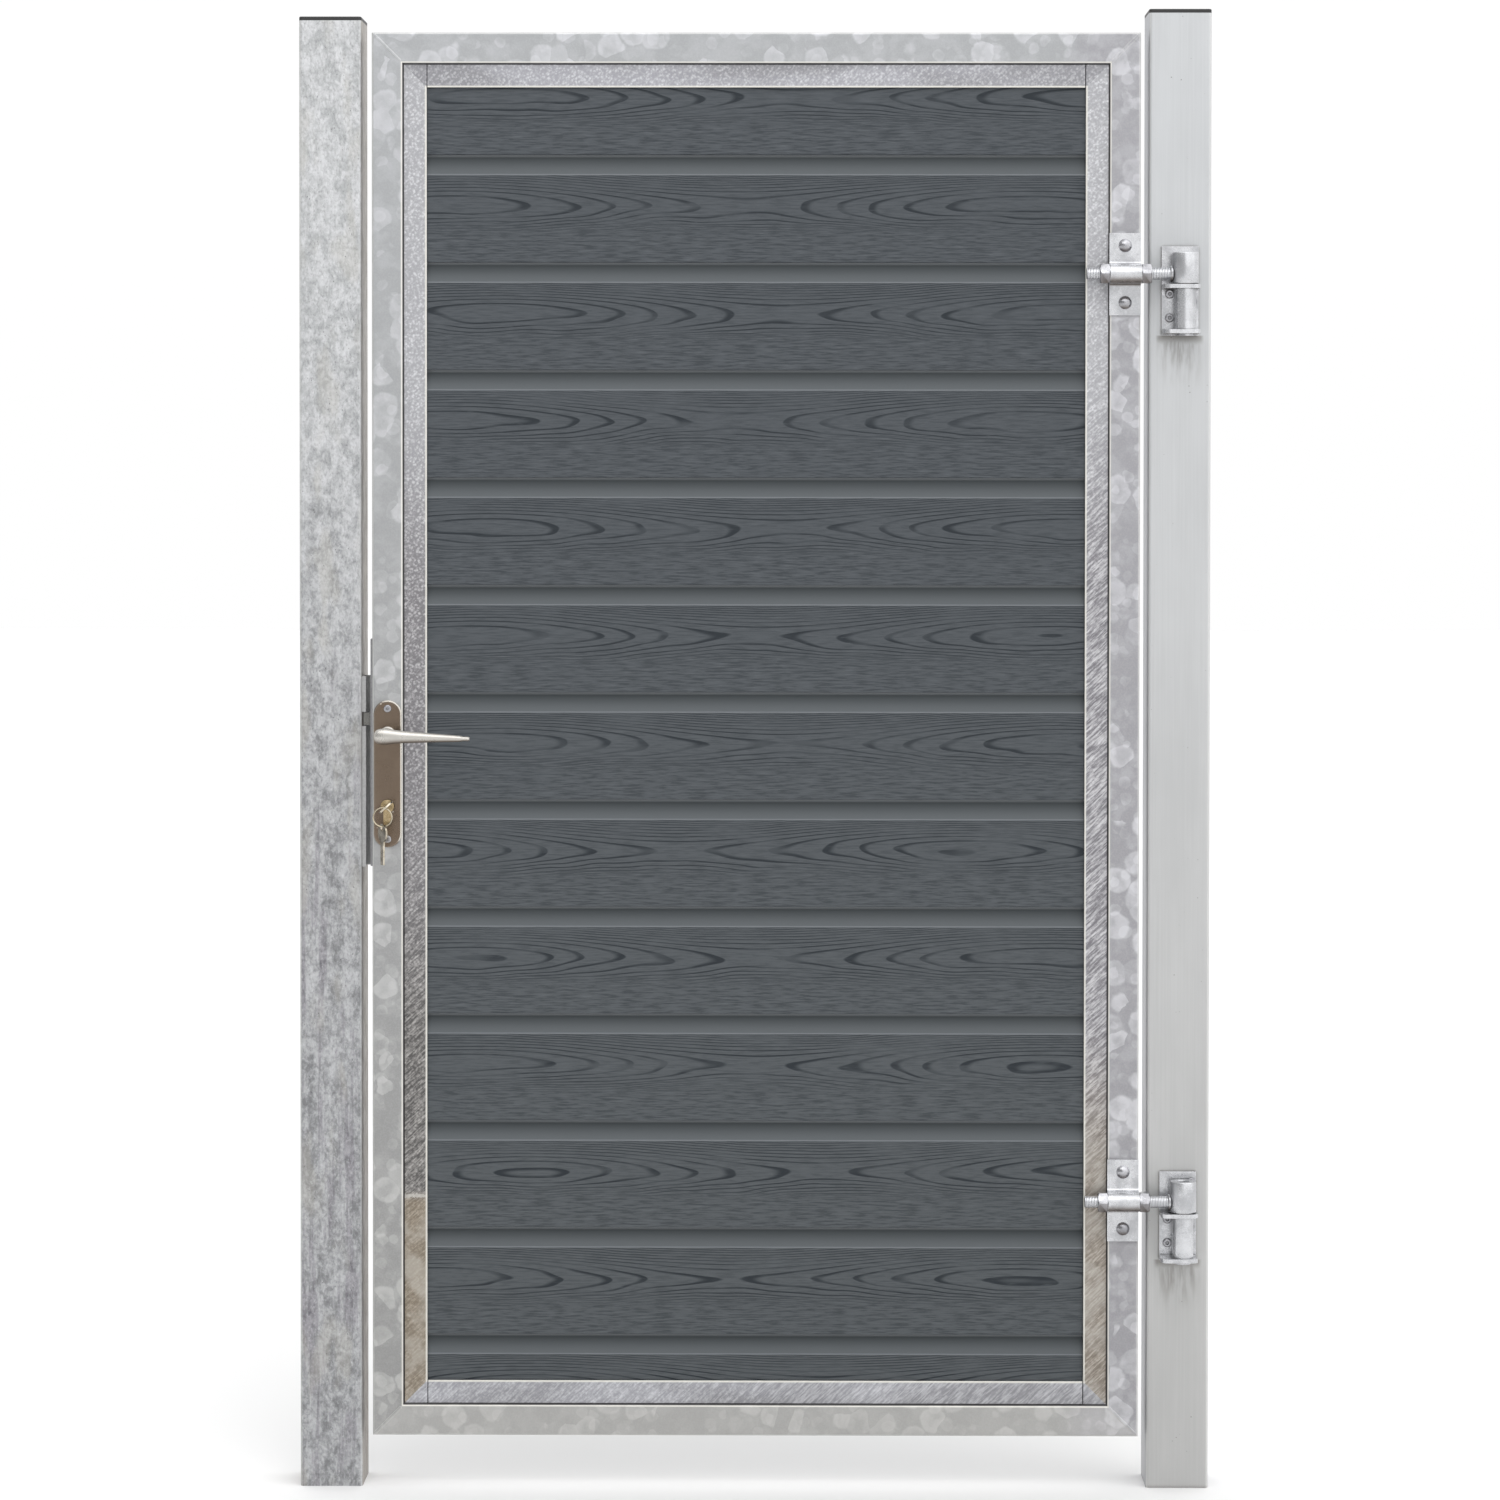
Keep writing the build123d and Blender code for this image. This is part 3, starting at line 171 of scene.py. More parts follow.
class Finish:
    """A material as it is made: one shader and the nodes that feed it."""

    def __init__(self, name, roughness, metallic=0.0):
        self.material = bpy.data.materials.new(name)
        self.material.use_nodes = True
        self.tree = self.material.node_tree
        self.shader = self.tree.nodes["Principled BSDF"]
        self.shader.inputs["Roughness"].default_value = roughness
        self.shader.inputs["Metallic"].default_value = metallic
        self.space = self.add("ShaderNodeTexCoord")

    def add(self, kind, inputs=None, **settings):
        node = self.tree.nodes.new(kind)
        for name, value in settings.items():
            setattr(node, name, value)
        for name, value in (inputs or {}).items():
            self.feed(node.inputs[name], value)
        return node

    def feed(self, socket, value):
        if isinstance(value, bpy.types.NodeSocket):
            self.tree.links.new(value, socket)
        else:
            socket.default_value = value

    def place(self, stretch=(1.0, 1.0, 1.0), turn=(0.0, 0.0, 0.0), shift=(0.0, 0.0, 0.0)):
        """Object coordinates, turned and stretched."""
        inputs = {"Vector": self.space.outputs["Object"], "Scale": stretch, "Rotation": turn}
        inputs["Location"] = shift
        return self.add("ShaderNodeMapping", inputs).outputs[0]

    def stretched(self, vector, stretch):
        return self.add("ShaderNodeMapping", {"Vector": vector, "Scale": stretch}).outputs[0]

    def axis(self, name, vector=None):
        """X, Y or Z of a place, or of another vector."""
        return self.add("ShaderNodeSeparateXYZ", {0: vector or self.place()}).outputs[name]

    def facing(self, name):
        """X, Y or Z of the surface's direction, in the object's own axes."""
        return self.add("ShaderNodeSeparateXYZ", {0: self.space.outputs["Normal"]}).outputs[name]

    def noise(self, vector, scale, detail=4.0, roughness=0.55):
        inputs = {"Vector": vector, "Scale": scale, "Detail": detail, "Roughness": roughness}
        return self.add("ShaderNodeTexNoise", inputs).outputs[0]

    def cells(self, vector, scale):
        """How far a place lies from the nearest of many scattered centres."""
        return self.add("ShaderNodeTexVoronoi", {"Vector": vector, "Scale": scale}).outputs["Distance"]

    def openness(self, reach, inside=False):
        """Less than 1 in a hollow that is smaller than the reach or, looking inside, near an outer edge."""
        inputs = {"Distance": reach}
        return self.add("ShaderNodeAmbientOcclusion", inputs, samples=8, inside=inside).outputs["AO"]

    def warp(self, vector, scale, amount):
        """Coordinates pushed about by noise."""
        push = self.add("ShaderNodeTexNoise", {"Vector": vector, "Scale": scale, "Detail": 2.0}).outputs[1]
        centred = self.vector("SUBTRACT", push, (0.5, 0.5, 0.5))
        scaled = self.add("ShaderNodeVectorMath", {0: centred, 3: amount}, operation="SCALE").outputs[0]
        return self.vector("ADD", vector, scaled)

    def vector(self, operation, first, second):
        return self.add("ShaderNodeVectorMath", {0: first, 1: second}, operation=operation).outputs[0]

    def calc(self, operation, first, second=0.0, third=0.0):
        return self.add("ShaderNodeMath", {0: first, 1: second, 2: third}, operation=operation).outputs[0]

    def plus(self, first, second):
        return self.calc("ADD", first, second)

    def minus(self, first, second):
        return self.calc("SUBTRACT", first, second)

    def times(self, first, second):
        return self.calc("MULTIPLY", first, second)

    def larger(self, first, second):
        return self.calc("MAXIMUM", first, second)

    def smaller(self, first, second):
        return self.calc("MINIMUM", first, second)

    def size(self, value):
        """A value without its sign."""
        return self.calc("ABSOLUTE", value)

    def step(self, value, start, end, low=0.0, high=1.0):
        """A smooth step of a value from low to high."""
        inputs = {"Value": value, "From Min": start, "From Max": end, "To Min": low, "To Max": high}
        return self.add("ShaderNodeMapRange", inputs, interpolation_type="SMOOTHSTEP").outputs[0]

    def mix(self, share, first, second):
        """One colour over another, by a share."""
        return self.add("ShaderNodeMix", {0: share, 6: first, 7: second}, data_type="RGBA").outputs[2]

    def colour(self, value):
        self.feed(self.shader.inputs["Base Color"], value)

    def roughness(self, value):
        self.feed(self.shader.inputs["Roughness"], value)

    def relief(self, height, depth):
        """Bump of a height pattern, depth metres from its low to its high."""
        bump = self.add("ShaderNodeBump", {"Height": height, "Distance": depth, "Strength": 1.0})
        self.feed(self.shader.inputs["Normal"], bump.outputs[0])

    def corner(self):
        """1 on rounded edges and 0 on flat faces that lie square to the axes."""
        sizes = self.add("ShaderNodeVectorMath", {0: self.space.outputs["Normal"]}, operation="ABSOLUTE")
        parts = self.add("ShaderNodeSeparateXYZ", {0: sizes.outputs[0]}).outputs
        largest = self.larger(self.larger(parts[0], parts[1]), parts[2])
        return self.step(largest, 0.985, 0.86)


def shade(red, green=None, blue=None):
    """A colour from the 0 to 255 tones it is seen as in this light."""
    tones = (red, red if green is None else green, red if blue is None else blue)
    return tuple(((tone / 255 + 0.055) / 1.055) ** 2.4 / light_level for tone in tones) + (1.0,)


def seam_distance(paint):
    """How far a place is inside the channels' outer edge: from its sides, and from its top or foot."""
    across, _, height = paint.add("ShaderNodeSeparateXYZ", {0: paint.place()}).outputs
    from_side = paint.smaller(paint.minus(across, infill_low.x), paint.minus(infill_high.x, across))
    from_end = paint.smaller(paint.minus(height, infill_low.z), paint.minus(infill_high.z, height))
    return from_side, from_end


def level_share(paint, from_side, from_end):
    """1 on the level tubes and channels and 0 on the upright ones, changing along the mitres."""
    return paint.step(paint.minus(from_side, from_end), -0.0005, 0.0005)


def composite_board():
    """Anthracite composite, embossed with a plain-sawn grain above and straight grain below."""
    arch_length, ring_spacing = 0.74, 0.0138
    paint = Finish("board_composite", roughness=0.62)
    paint.shader.inputs["Specular IOR Level"].default_value = 0.15

    # Each board's own coordinates: its number, and the place along and up it, every other one turned
    along, _, height = paint.add("ShaderNodeSeparateXYZ", {0: paint.place()}).outputs
    counted = paint.calc("DIVIDE", paint.minus(height, board_foot), board_pitch)
    number = paint.calc("FLOOR", paint.plus(counted, 0.001))
    up = paint.times(paint.minus(counted, number), board_pitch)
    chance = paint.add("ShaderNodeTexWhiteNoise", {"W": number}, noise_dimensions="1D").outputs[0]
    parity = paint.calc("MODULO", paint.plus(number, 20.0), 2.0)
    side = paint.minus(paint.times(parity, 2.0), 1.0)
    shift = paint.times(paint.minus(chance, 0.5), 0.12)
    run = paint.plus(paint.times(along, side), paint.plus(shift, 0.33))
    flat = paint.add("ShaderNodeCombineXYZ", {0: run, 1: number, 2: up}).outputs[0]

    # The arches: rings that crest and close about the board's heart
    slow = paint.stretched(flat, (5.0, 0.31, 22.0))
    drift = paint.minus(paint.noise(slow, 1.0, detail=2.0), 0.5)
    wave = paint.calc("COSINE", paint.times(run, math.tau / arch_length))
    crown = paint.times(paint.minus(1.0, wave), 2.6)
    heart = paint.plus(0.072, paint.times(drift, 0.014))
    offset = paint.calc("DIVIDE", paint.minus(up, heart), ring_spacing)
    spread = paint.calc("POWER", paint.size(offset), 2.0)
    rings = paint.plus(paint.plus(crown, spread), paint.times(drift, 2.2))
    phase = paint.calc("FRACT", rings)
    dark_rise = paint.step(phase, 0.62, 0.84)
    dark_fall = paint.step(phase, 0.93, 1.0, 1.0, 0.0)
    patchy = paint.stretched(flat, (11.0, 0.7, 50.0))
    worn = paint.step(paint.noise(patchy, 1.0, detail=3.0), 0.30, 0.58, 0.30, 1.0)
    arch = paint.times(paint.times(dark_rise, dark_fall), worn)
    arch = paint.times(arch, paint.step(up, 0.030, 0.052))

    # The straight grain, strongest low on the board
    fibres = paint.stretched(flat, (36.0, 1.0, 430.0))
    straight = paint.noise(fibres, 1.0, detail=4.0, roughness=0.6)
    fine = paint.stretched(flat, (34.0, 1.0, 1100.0))
    hair = paint.noise(fine, 1.0, detail=2.0)
    straight_dark = paint.step(straight, 0.45, 0.64)
    straight_light = paint.step(straight, 0.44, 0.28)
    below = paint.step(up, 0.060, 0.034, 0.55, 1.0)

    # The face, and above it the bevelled band with a painted shadow under the next board's lip and a
    # painted highlight on its arris
    face_end = board_pitch - bevel_band
    face = paint.step(up, face_end - 0.0008, face_end, 1.0, 0.0)
    straight_line = paint.times(paint.times(straight_dark, below), 0.55)
    lines = paint.times(paint.larger(arch, straight_line), face)
    glints = paint.times(paint.times(straight_light, below), paint.times(face, 0.5))

    body = paint.mix(hair, board_tone(86, 90, 94), board_tone(91, 95, 99))
    # Painted light: the lower boards are painted lighter, as less light reaches them.
    low_body_painted_light = paint.mix(hair, board_tone(90, 94, 97), board_tone(96, 100, 103))
    body = paint.mix(paint.step(height, 1.45, 0.25), body, low_body_painted_light)
    body = paint.mix(lines, body, board_tone(58, 62, 66))
    body = paint.mix(glints, body, board_tone(108, 112, 116))
    band = paint.minus(1.0, face)
    # Painted shadow: the band darkens towards its top, under the next board's lip.
    lip_shadow = paint.step(up, face_end, board_pitch)
    band_colour_and_shade = paint.mix(lip_shadow, board_tone(101, 105, 108), board_tone(68, 72, 74))
    # Painted light: the last few millimetres of the band's top are lightened against the shade there.
    band_top_painted_light = paint.step(up, board_pitch - 0.0045, board_pitch - 0.0010, 0.0, 0.75)
    band_colour_and_shade = paint.mix(band_top_painted_light, band_colour_and_shade, board_tone(140, 144, 147))
    body = paint.mix(band, body, band_colour_and_shade)
    # Painted highlight along the arris between the face and the band.
    arris_highlight = paint.calc("COMPARE", up, face_end + 0.0003, 0.0009)
    body = paint.mix(paint.times(arris_highlight, 0.7), body, board_tone(126, 130, 134))
    paint.colour(body)
    paint.roughness(paint.step(hair, 0.3, 0.7, 0.56, 0.68))
    paint.relief(paint.plus(paint.times(lines, -1.0), paint.times(glints, 0.25)), 0.0004)
    return paint.material


def board_tone(red, green, blue):
    """A board colour, less the sheen that the shader adds."""
    sheen = 0.012
    return tuple(part - sheen for part in shade(red, green, blue)[:3]) + (1.0,)


def lobes(paint, shift, scale, reach, share):
    """Soft scalloped flowers of zinc about scattered centres, crisp at the rim and fading within."""
    spot = paint.warp(paint.place(shift=shift), scale * 0.9, 0.40 / scale)
    spot = paint.warp(spot, scale * 3.0, 0.10 / scale)
    cell = paint.add("ShaderNodeTexVoronoi", {"Vector": spot, "Scale": scale, "Randomness": 1.0})
    chance = paint.axis("X", cell.outputs["Color"])
    rim = paint.step(cell.outputs["Distance"], reach, reach * 0.80)
    fade = paint.step(cell.outputs["Distance"], 0.0, reach, 0.55, 1.0)
    kept = paint.step(chance, 1.0 - share, 1.0 - share + 0.55)
    return paint.times(paint.times(rim, fade), kept)


def spangled_frame_zinc():
    """Hot-dip galvanising on the leaf's tubes, grown in soft flowers on a greyer ground."""
    paint = Finish("frame_zinc", roughness=0.5, metallic=0.4)
    large = lobes(paint, (0.0, 0.0, 0.0), 34.0, 0.66, 0.72)
    small = lobes(paint, (0.31, 0.17, 0.73), 66.0, 0.60, 0.60)
    smeared = paint.warp(paint.place(), 30.0, 0.02)
    cloud = paint.step(paint.noise(smeared, 38.0, detail=4.0), 0.36, 0.64)
    high = paint.step(paint.axis("Z"), 0.1, leaf_high.z, 0.0, 1.0)
    tone = paint.plus(paint.times(large, 0.50), paint.times(small, 0.26))
    tone = paint.plus(tone, paint.times(cloud, 0.30))
    tone = paint.step(tone, 0.0, 1.0)
    low_pair = paint.mix(tone, shade(153, 153, 152), shade(190, 190, 188))
    high_pair = paint.mix(tone, shade(168, 170, 172), shade(205, 206, 210))
    body = paint.mix(high, low_pair, high_pair)
    hinge_side = paint.mix(tone, shade(159, 158, 163), shade(210, 210, 215))
    body = paint.mix(paint.step(paint.axis("X"), 0.38, 0.44, 0.0, 0.8), body, hinge_side)
    fine = paint.noise(paint.place(), 520.0, detail=3.0)
    body = paint.mix(paint.step(fine, 0.35, 0.75, 0.0, 0.10), body, shade(222))
    # Painted highlight on the tubes' rounded edges.
    body = paint.mix(paint.times(paint.corner(), 0.55), body, shade(222, 222, 219))
    from_side, from_end = seam_distance(paint)
    is_level = level_share(paint, from_side, from_end)
    # Painted light: the foot rail is painted lighter, as less light falls on it.
    foot_rail_painted_light = paint.times(is_level, paint.step(paint.axis("Z"), 0.4, 0.3, 0.0, 0.28))
    body = paint.mix(foot_rail_painted_light, body, shade(214, 212, 208))
    # A painted highlight on the tubes' inner arris, then painted shade in the seam, where the tubes meet
    # the channels
    inside = paint.smaller(from_side, from_end)
    lit = paint.times(paint.step(inside, -0.0032, -0.0022), paint.step(inside, -seam_edge, -0.0014))
    body = paint.mix(paint.times(lit, 0.8), body, shade(236, 234, 226))
    seam_shade = paint.step(inside, -seam_edge - 0.0003, -seam_edge + 0.0003, 0.0, 0.85)
    body = paint.mix(seam_shade, body, shade(58, 56, 56))
    paint.colour(body)
    paint.roughness(paint.step(tone, 0.0, 1.0, 0.55, 0.42))
    paint.relief(paint.plus(paint.times(large, 0.5), fine), 0.00010)
    return paint.material


def mottled_post_zinc():
    """Rough galvanising: fine pale crystals, warm and cool, with dark vertical runs towards the foot,
    painted highlights on the rounded edges and painted shade on the side faces.
    """
    paint = Finish("post_zinc_mottled", roughness=0.58, metallic=0.35)
    height = paint.axis("Z")
    smeared = paint.warp(paint.place(stretch=(1.0, 1.0, 0.7)), 60.0, 0.010)
    crystal = paint.step(paint.cells(smeared, 210.0), 0.65, 0.15)
    mottle = paint.noise(smeared, 62.0, detail=8.0, roughness=0.72)
    broad = paint.noise(paint.place(stretch=(1.0, 1.0, 0.14)), 36.0, detail=3.0)
    streak = paint.noise(paint.place(stretch=(1.0, 1.0, 0.045)), 78.0, detail=5.0, roughness=0.62)
    low = paint.step(height, 1.45, 0.35)
    tone = paint.plus(paint.times(paint.step(mottle, 0.32, 0.68), 0.75), paint.times(crystal, 0.12))
    tone = paint.plus(tone, paint.times(paint.step(broad, 0.32, 0.62), 0.25))
    top_pale = paint.mix(paint.step(tone, 0.0, 1.05), shade(172, 174, 175), shade(214, 215, 217))
    low_pale = paint.mix(paint.step(tone, 0.0, 1.0), shade(130, 131, 133), shade(192, 193, 195))
    pale = paint.mix(paint.step(height, 1.65, 0.85), top_pale, low_pale)
    worn = paint.mix(paint.step(tone, 0.0, 1.05), shade(92, 89, 97), shade(160, 158, 163))
    blotch = paint.plus(paint.times(streak, 0.5), paint.times(broad, 0.5))
    start = paint.minus(0.600, paint.times(low, 0.098))
    ragged = paint.times(paint.minus(mottle, 0.5), 0.22)
    patch = paint.plus(paint.minus(blotch, start), ragged)
    patch = paint.step(patch, 0.0, 0.06)
    body = paint.mix(paint.times(patch, paint.step(low, 0.0, 1.0, 0.35, 0.85)), pale, worn)
    grit = paint.noise(paint.place(stretch=(1.0, 1.0, 0.6)), 300.0, detail=4.0, roughness=0.7)
    body = paint.mix(paint.step(grit, 0.50, 0.34, 0.0, 0.34), body, shade(96, 95, 98))
    body = paint.mix(paint.step(grit, 0.52, 0.68, 0.0, 0.34), body, shade(226, 227, 229))
    clouds = paint.noise(paint.place(stretch=(1.0, 1.0, 0.3)), 30.0, detail=2.0)
    body = paint.mix(paint.step(clouds, 0.52, 0.66, 0.0, 0.30), body, shade(184, 181, 172))
    pits = paint.step(paint.cells(paint.place(stretch=(1.0, 1.0, 0.55)), 240.0), 0.17, 0.06)
    rare = paint.step(paint.noise(paint.place(), 45.0, detail=1.0), 0.54, 0.60)
    body = paint.mix(paint.times(pits, paint.times(rare, 0.85)), body, shade(84, 82, 86))
    # Painted highlight on the post's rounded edges.
    body = paint.mix(paint.times(paint.corner(), 0.45), body, shade(216, 217, 216))
    # Painted shade on the side faces.
    side = paint.step(paint.size(paint.facing("X")), 0.8, 0.98, 0.0, 0.55)
    body = paint.mix(side, body, shade(163, 152, 140))
    paint.colour(body)
    paint.roughness(paint.step(tone, 0.0, 1.0, 0.66, 0.5))
    paint.relief(paint.plus(mottle, paint.times(crystal, 0.4)), 0.0006)
    return paint.material


def smooth_post_zinc():
    """Smooth satin galvanising with a few dark specks, faint stains under the hinge brackets and a painted
    shadow right under them, painted shade in its hollows, painted highlights on rounded edges and painted
    shade on the side faces.
    """
    paint = Finish("post_zinc_smooth", roughness=0.42, metallic=0.4)
    cloud = paint.noise(paint.place(stretch=(1.0, 1.0, 0.35)), 14.0, detail=3.0)
    brushed = paint.noise(paint.place(stretch=(1.0, 1.0, 0.012)), 420.0, detail=3.0)
    tone = paint.plus(paint.times(cloud, 0.6), paint.times(brushed, 0.4))
    tone = paint.step(tone, 0.3, 0.7)
    lower = paint.mix(tone, shade(184, 184, 183), shade(193, 193, 192))
    upper = paint.mix(tone, shade(195, 197, 199), shade(204, 206, 208))
    body = paint.mix(paint.step(paint.axis("Z"), 0.0, post_top), lower, upper)
    specks = paint.step(paint.cells(paint.place(), 150.0), 0.13, 0.06)
    rare = paint.step(paint.noise(paint.place(), 60.0, detail=1.0), 0.60, 0.68)
    body = paint.mix(paint.times(specks, rare), body, shade(92, 88, 84))
    for bracket in ("upper_post_bracket", "lower_post_bracket"):
        low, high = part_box(bracket)
        middle = (low[0] + high[0]) / 2
        across = paint.size(paint.minus(paint.axis("X"), middle))
        beside = paint.step(across, 0.034, 0.012)
        below = paint.minus(low[2], paint.axis("Z"))
        drip = paint.times(paint.step(below, -0.002, 0.004), paint.step(below, 0.075, 0.008))
        runs = paint.step(paint.noise(paint.place(stretch=(1.0, 1.0, 0.12)), 150.0), 0.40, 0.66)
        stain_and_shadow = paint.times(paint.times(beside, drip), runs)
        # Painted shadow in a narrow band right under the bracket, added to the real stain.
        bracket_shadow = paint.times(paint.step(below, -0.001, 0.001), paint.step(below, 0.014, 0.002))
        bracket_shadow = paint.times(bracket_shadow, paint.step(across, 0.032, 0.026))
        stain_and_shadow = paint.larger(stain_and_shadow, bracket_shadow)
        stain_and_shadow = paint.times(stain_and_shadow, paint.step(paint.axis("Y"), 0.012, 0.004))
        body = paint.mix(paint.times(stain_and_shadow, 0.6), body, shade(112, 106, 98))
    # Painted shade in the hollows around the brackets and their screws.
    hollow = paint.openness(0.008)
    body = paint.mix(paint.step(hollow, 0.86, 0.40, 0.0, 0.6), body, shade(104, 98, 92))
    # Painted highlight on the post's rounded edges.
    body = paint.mix(paint.times(paint.corner(), 0.45), body, shade(226, 226, 224))
    # Painted shade on the side faces.
    side = paint.step(paint.size(paint.facing("X")), 0.8, 0.98, 0.0, 0.5)
    body = paint.mix(side, body, shade(160, 162, 170))
    paint.colour(body)
    paint.roughness(paint.step(tone, 0.0, 1.0, 0.46, 0.36))
    paint.relief(brushed, 0.00006)
    return paint.material


def drawn_channel_zinc():
    """Galvanised sheet: fine crystal above, slanting scratches lower down, and brown dirt at the foot."""
    paint = Finish("channel_zinc", roughness=0.40, metallic=0.5)
    place = paint.place()
    across, height = paint.axis("X", place), paint.axis("Z", place)
    turned = paint.place(turn=(0.0, -0.82, 0.0))
    drawn = paint.stretched(turned, (1.0, 1.0, 0.13))
    slant = paint.noise(drawn, 420.0, detail=4.0, roughness=0.65)
    grit = paint.noise(place, 330.0, detail=4.0, roughness=0.7)
    spot = paint.warp(place, 200.0, 0.003)
    crystal = paint.step(paint.cells(spot, 250.0), 0.65, 0.12)
    is_right = paint.step(across, -0.001, 0.001)
    right_streak = paint.times(is_right, paint.step(height, 1.6, 1.1, 0.35, 0.8))
    lower_streak = paint.step(height, 1.0, 0.6, 0.25, 0.6)
    streaked = paint.larger(right_streak, lower_streak)
    rough = paint.plus(paint.times(grit, 0.75), paint.times(crystal, 0.18))
    tone = paint.add("ShaderNodeMix", {0: streaked, 2: rough, 3: slant}, data_type="FLOAT").outputs[0]
    tone = paint.step(tone, 0.36, 0.66)
    light = paint.mix(tone, shade(171, 171, 175), shade(221, 222, 225))
    middle = paint.mix(tone, shade(128, 126, 129), shade(204, 202, 204))
    dark = paint.mix(tone, shade(89, 87, 86), shade(183, 180, 177))
    patchy = paint.step(paint.noise(paint.place(), 22.0, detail=4.0), 0.40, 0.62)
    stained = paint.mix(tone, shade(132, 121, 106), shade(182, 172, 158))
    foot = paint.mix(paint.times(patchy, 0.7), stained, shade(184, 178, 168))
    # The upright channels, latch side and hinge side
    left = paint.mix(paint.step(height, 1.42, 1.12), light, middle)
    left = paint.mix(paint.step(height, 0.92, 0.55), left, dark)
    left = paint.mix(paint.step(height, 0.385, 0.365), left, foot)
    dull = paint.mix(tone, shade(126, 124, 129), shade(214, 213, 216))
    right = paint.mix(paint.step(height, 1.45, 1.15), light, dull)
    right = paint.mix(paint.step(height, 0.62, 0.38, 0.0, 0.8), right, foot)
    body = paint.mix(is_right, left, right)
    # The level channels
    from_side, from_end = seam_distance(paint)
    is_level = level_share(paint, from_side, from_end)
    drift = paint.step(paint.noise(paint.place(stretch=(0.3, 1.0, 1.0)), 14.0, detail=2.0), 0.38, 0.60)
    level_dark = paint.mix(tone, shade(146, 146, 150), shade(194, 194, 198))
    level_light = paint.mix(tone, shade(166, 166, 172), shade(212, 213, 217))
    body = paint.mix(is_level, body, paint.mix(drift, level_dark, level_light))
    # The pale smear that the latch side's dirt ends in
    smear_height, smear_reach = 0.381, 0.0022
    smear = paint.calc("COMPARE", paint.plus(height, paint.times(grit, 0.01)), smear_height, smear_reach)
    smear = paint.times(smear, paint.minus(0.7, paint.larger(is_right, is_level)))
    body = paint.mix(smear, body, shade(205, 202, 196))
    # Painted shade in the seam at the outer edge and a painted highlight on the lip at the inner one
    inside = paint.smaller(from_side, from_end)
    seam_shade = paint.step(inside, seam_edge + 0.0003, seam_edge - 0.0003, 0.0, 0.85)
    body = paint.mix(seam_shade, body, shade(56, 54, 54))
    lip_highlight = paint.step(inside, channel_width - 0.0008, channel_width + 0.0004, 0.0, 0.85)
    body = paint.mix(lip_highlight, body, shade(234, 232, 224))
    paint.colour(body)
    paint.roughness(paint.step(tone, 0.0, 1.0, 0.46, 0.30))
    paint.relief(tone, 0.00010)
    return paint.material


def toned(tones, share=1.0, extra=0):
    """A metal's shade made darker or lighter, by a share or by a few tones, and kept short of white."""
    return shade(*(min(250, part * share + extra) for part in tones))


def plain_metal(name, tones, roughness, metallic, grain=160.0, spread=9, underside_shade=0.35, hollow_shade=0.75, painted_highlights=None):
    """Satin metal with a soft cloud and fine grain, painted shade in its hollows, painted highlights on its
    edges and a painted shaded underside.
    """
    paint = Finish(name, roughness=roughness, metallic=metallic)
    cloud = paint.noise(paint.place(), grain / 4, detail=4.0)
    fine = paint.noise(paint.place(), grain * 4, detail=3.0)
    tone = paint.plus(paint.times(cloud, 0.7), paint.times(fine, 0.3))
    body = paint.mix(paint.step(tone, 0.35, 0.65), toned(tones, extra=-spread), toned(tones, extra=spread))
    # Painted shade: the underside is made duller and darker, as less light falls on it.
    dull = shade(*(part * share for part, share in zip(tones, (0.58, 0.53, 0.49))))
    body = paint.mix(paint.step(paint.facing("Z"), -0.05, -0.80, 0.0, underside_shade), body, dull)
    # Painted shade in hollows and corners.
    hollow = paint.openness(0.006)
    body = paint.mix(paint.step(hollow, 0.78, 0.30, 0.0, hollow_shade), body, toned(tones, 0.30))
    # Painted highlight on outer edges.
    edge_highlight = paint.openness(0.0015, inside=True)
    body = paint.mix(paint.step(edge_highlight, 0.80, 0.35, 0.0, 0.7), body, toned(tones, 1.16))
    if painted_highlights:
        body = painted_highlights(paint, body)
    paint.colour(body)
    paint.roughness(paint.step(tone, 0.3, 0.7, roughness + 0.05, roughness - 0.05))
    paint.relief(fine, 0.00004)
    return paint.material


def escutcheon_highlights(paint, body):
    """A painted highlight along the rim, brightest up and to the right, and a few painted reflection spots.
    """
    low, high = (Vector(corner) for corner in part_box("front_escutcheon"))
    middle = (low + high) / 2
    half_width = (high.x - low.x) / 2
    half_straight = (high.z - low.z) / 2 - half_width
    across = paint.minus(paint.axis("X"), middle.x)
    up = paint.minus(paint.axis("Z"), middle.z)
    past_end = paint.larger(paint.minus(paint.size(up), half_straight), 0.0)
    squared = paint.plus(paint.times(across, across), paint.times(past_end, past_end))
    outwards = paint.minus(paint.calc("SQRT", squared), half_width)
    rising = paint.times(past_end, paint.calc("SIGN", up))
    # Painted highlight along the rim, brightest up and to the right.
    lit = paint.step(paint.plus(across, paint.times(rising, 0.8)), 0.002, 0.010, 0.12, 1.0)
    rim = paint.times(paint.step(outwards, -0.0022, -0.0014), lit)
    body = paint.mix(paint.times(rim, 0.9), body, shade(226, 221, 212))
    # Painted reflection spots: a few pale dots in patches.
    reflection_spots = paint.step(paint.cells(paint.place(), 120.0), 0.16, 0.09)
    patches = paint.noise(paint.place(shift=(0.4, 0.0, 0.2)), 70.0, detail=1.0)
    reflection_spots = paint.times(reflection_spots, paint.step(patches, 0.60, 0.66, 0.0, 0.8))
    return paint.mix(reflection_spots, body, shade(222, 214, 204))


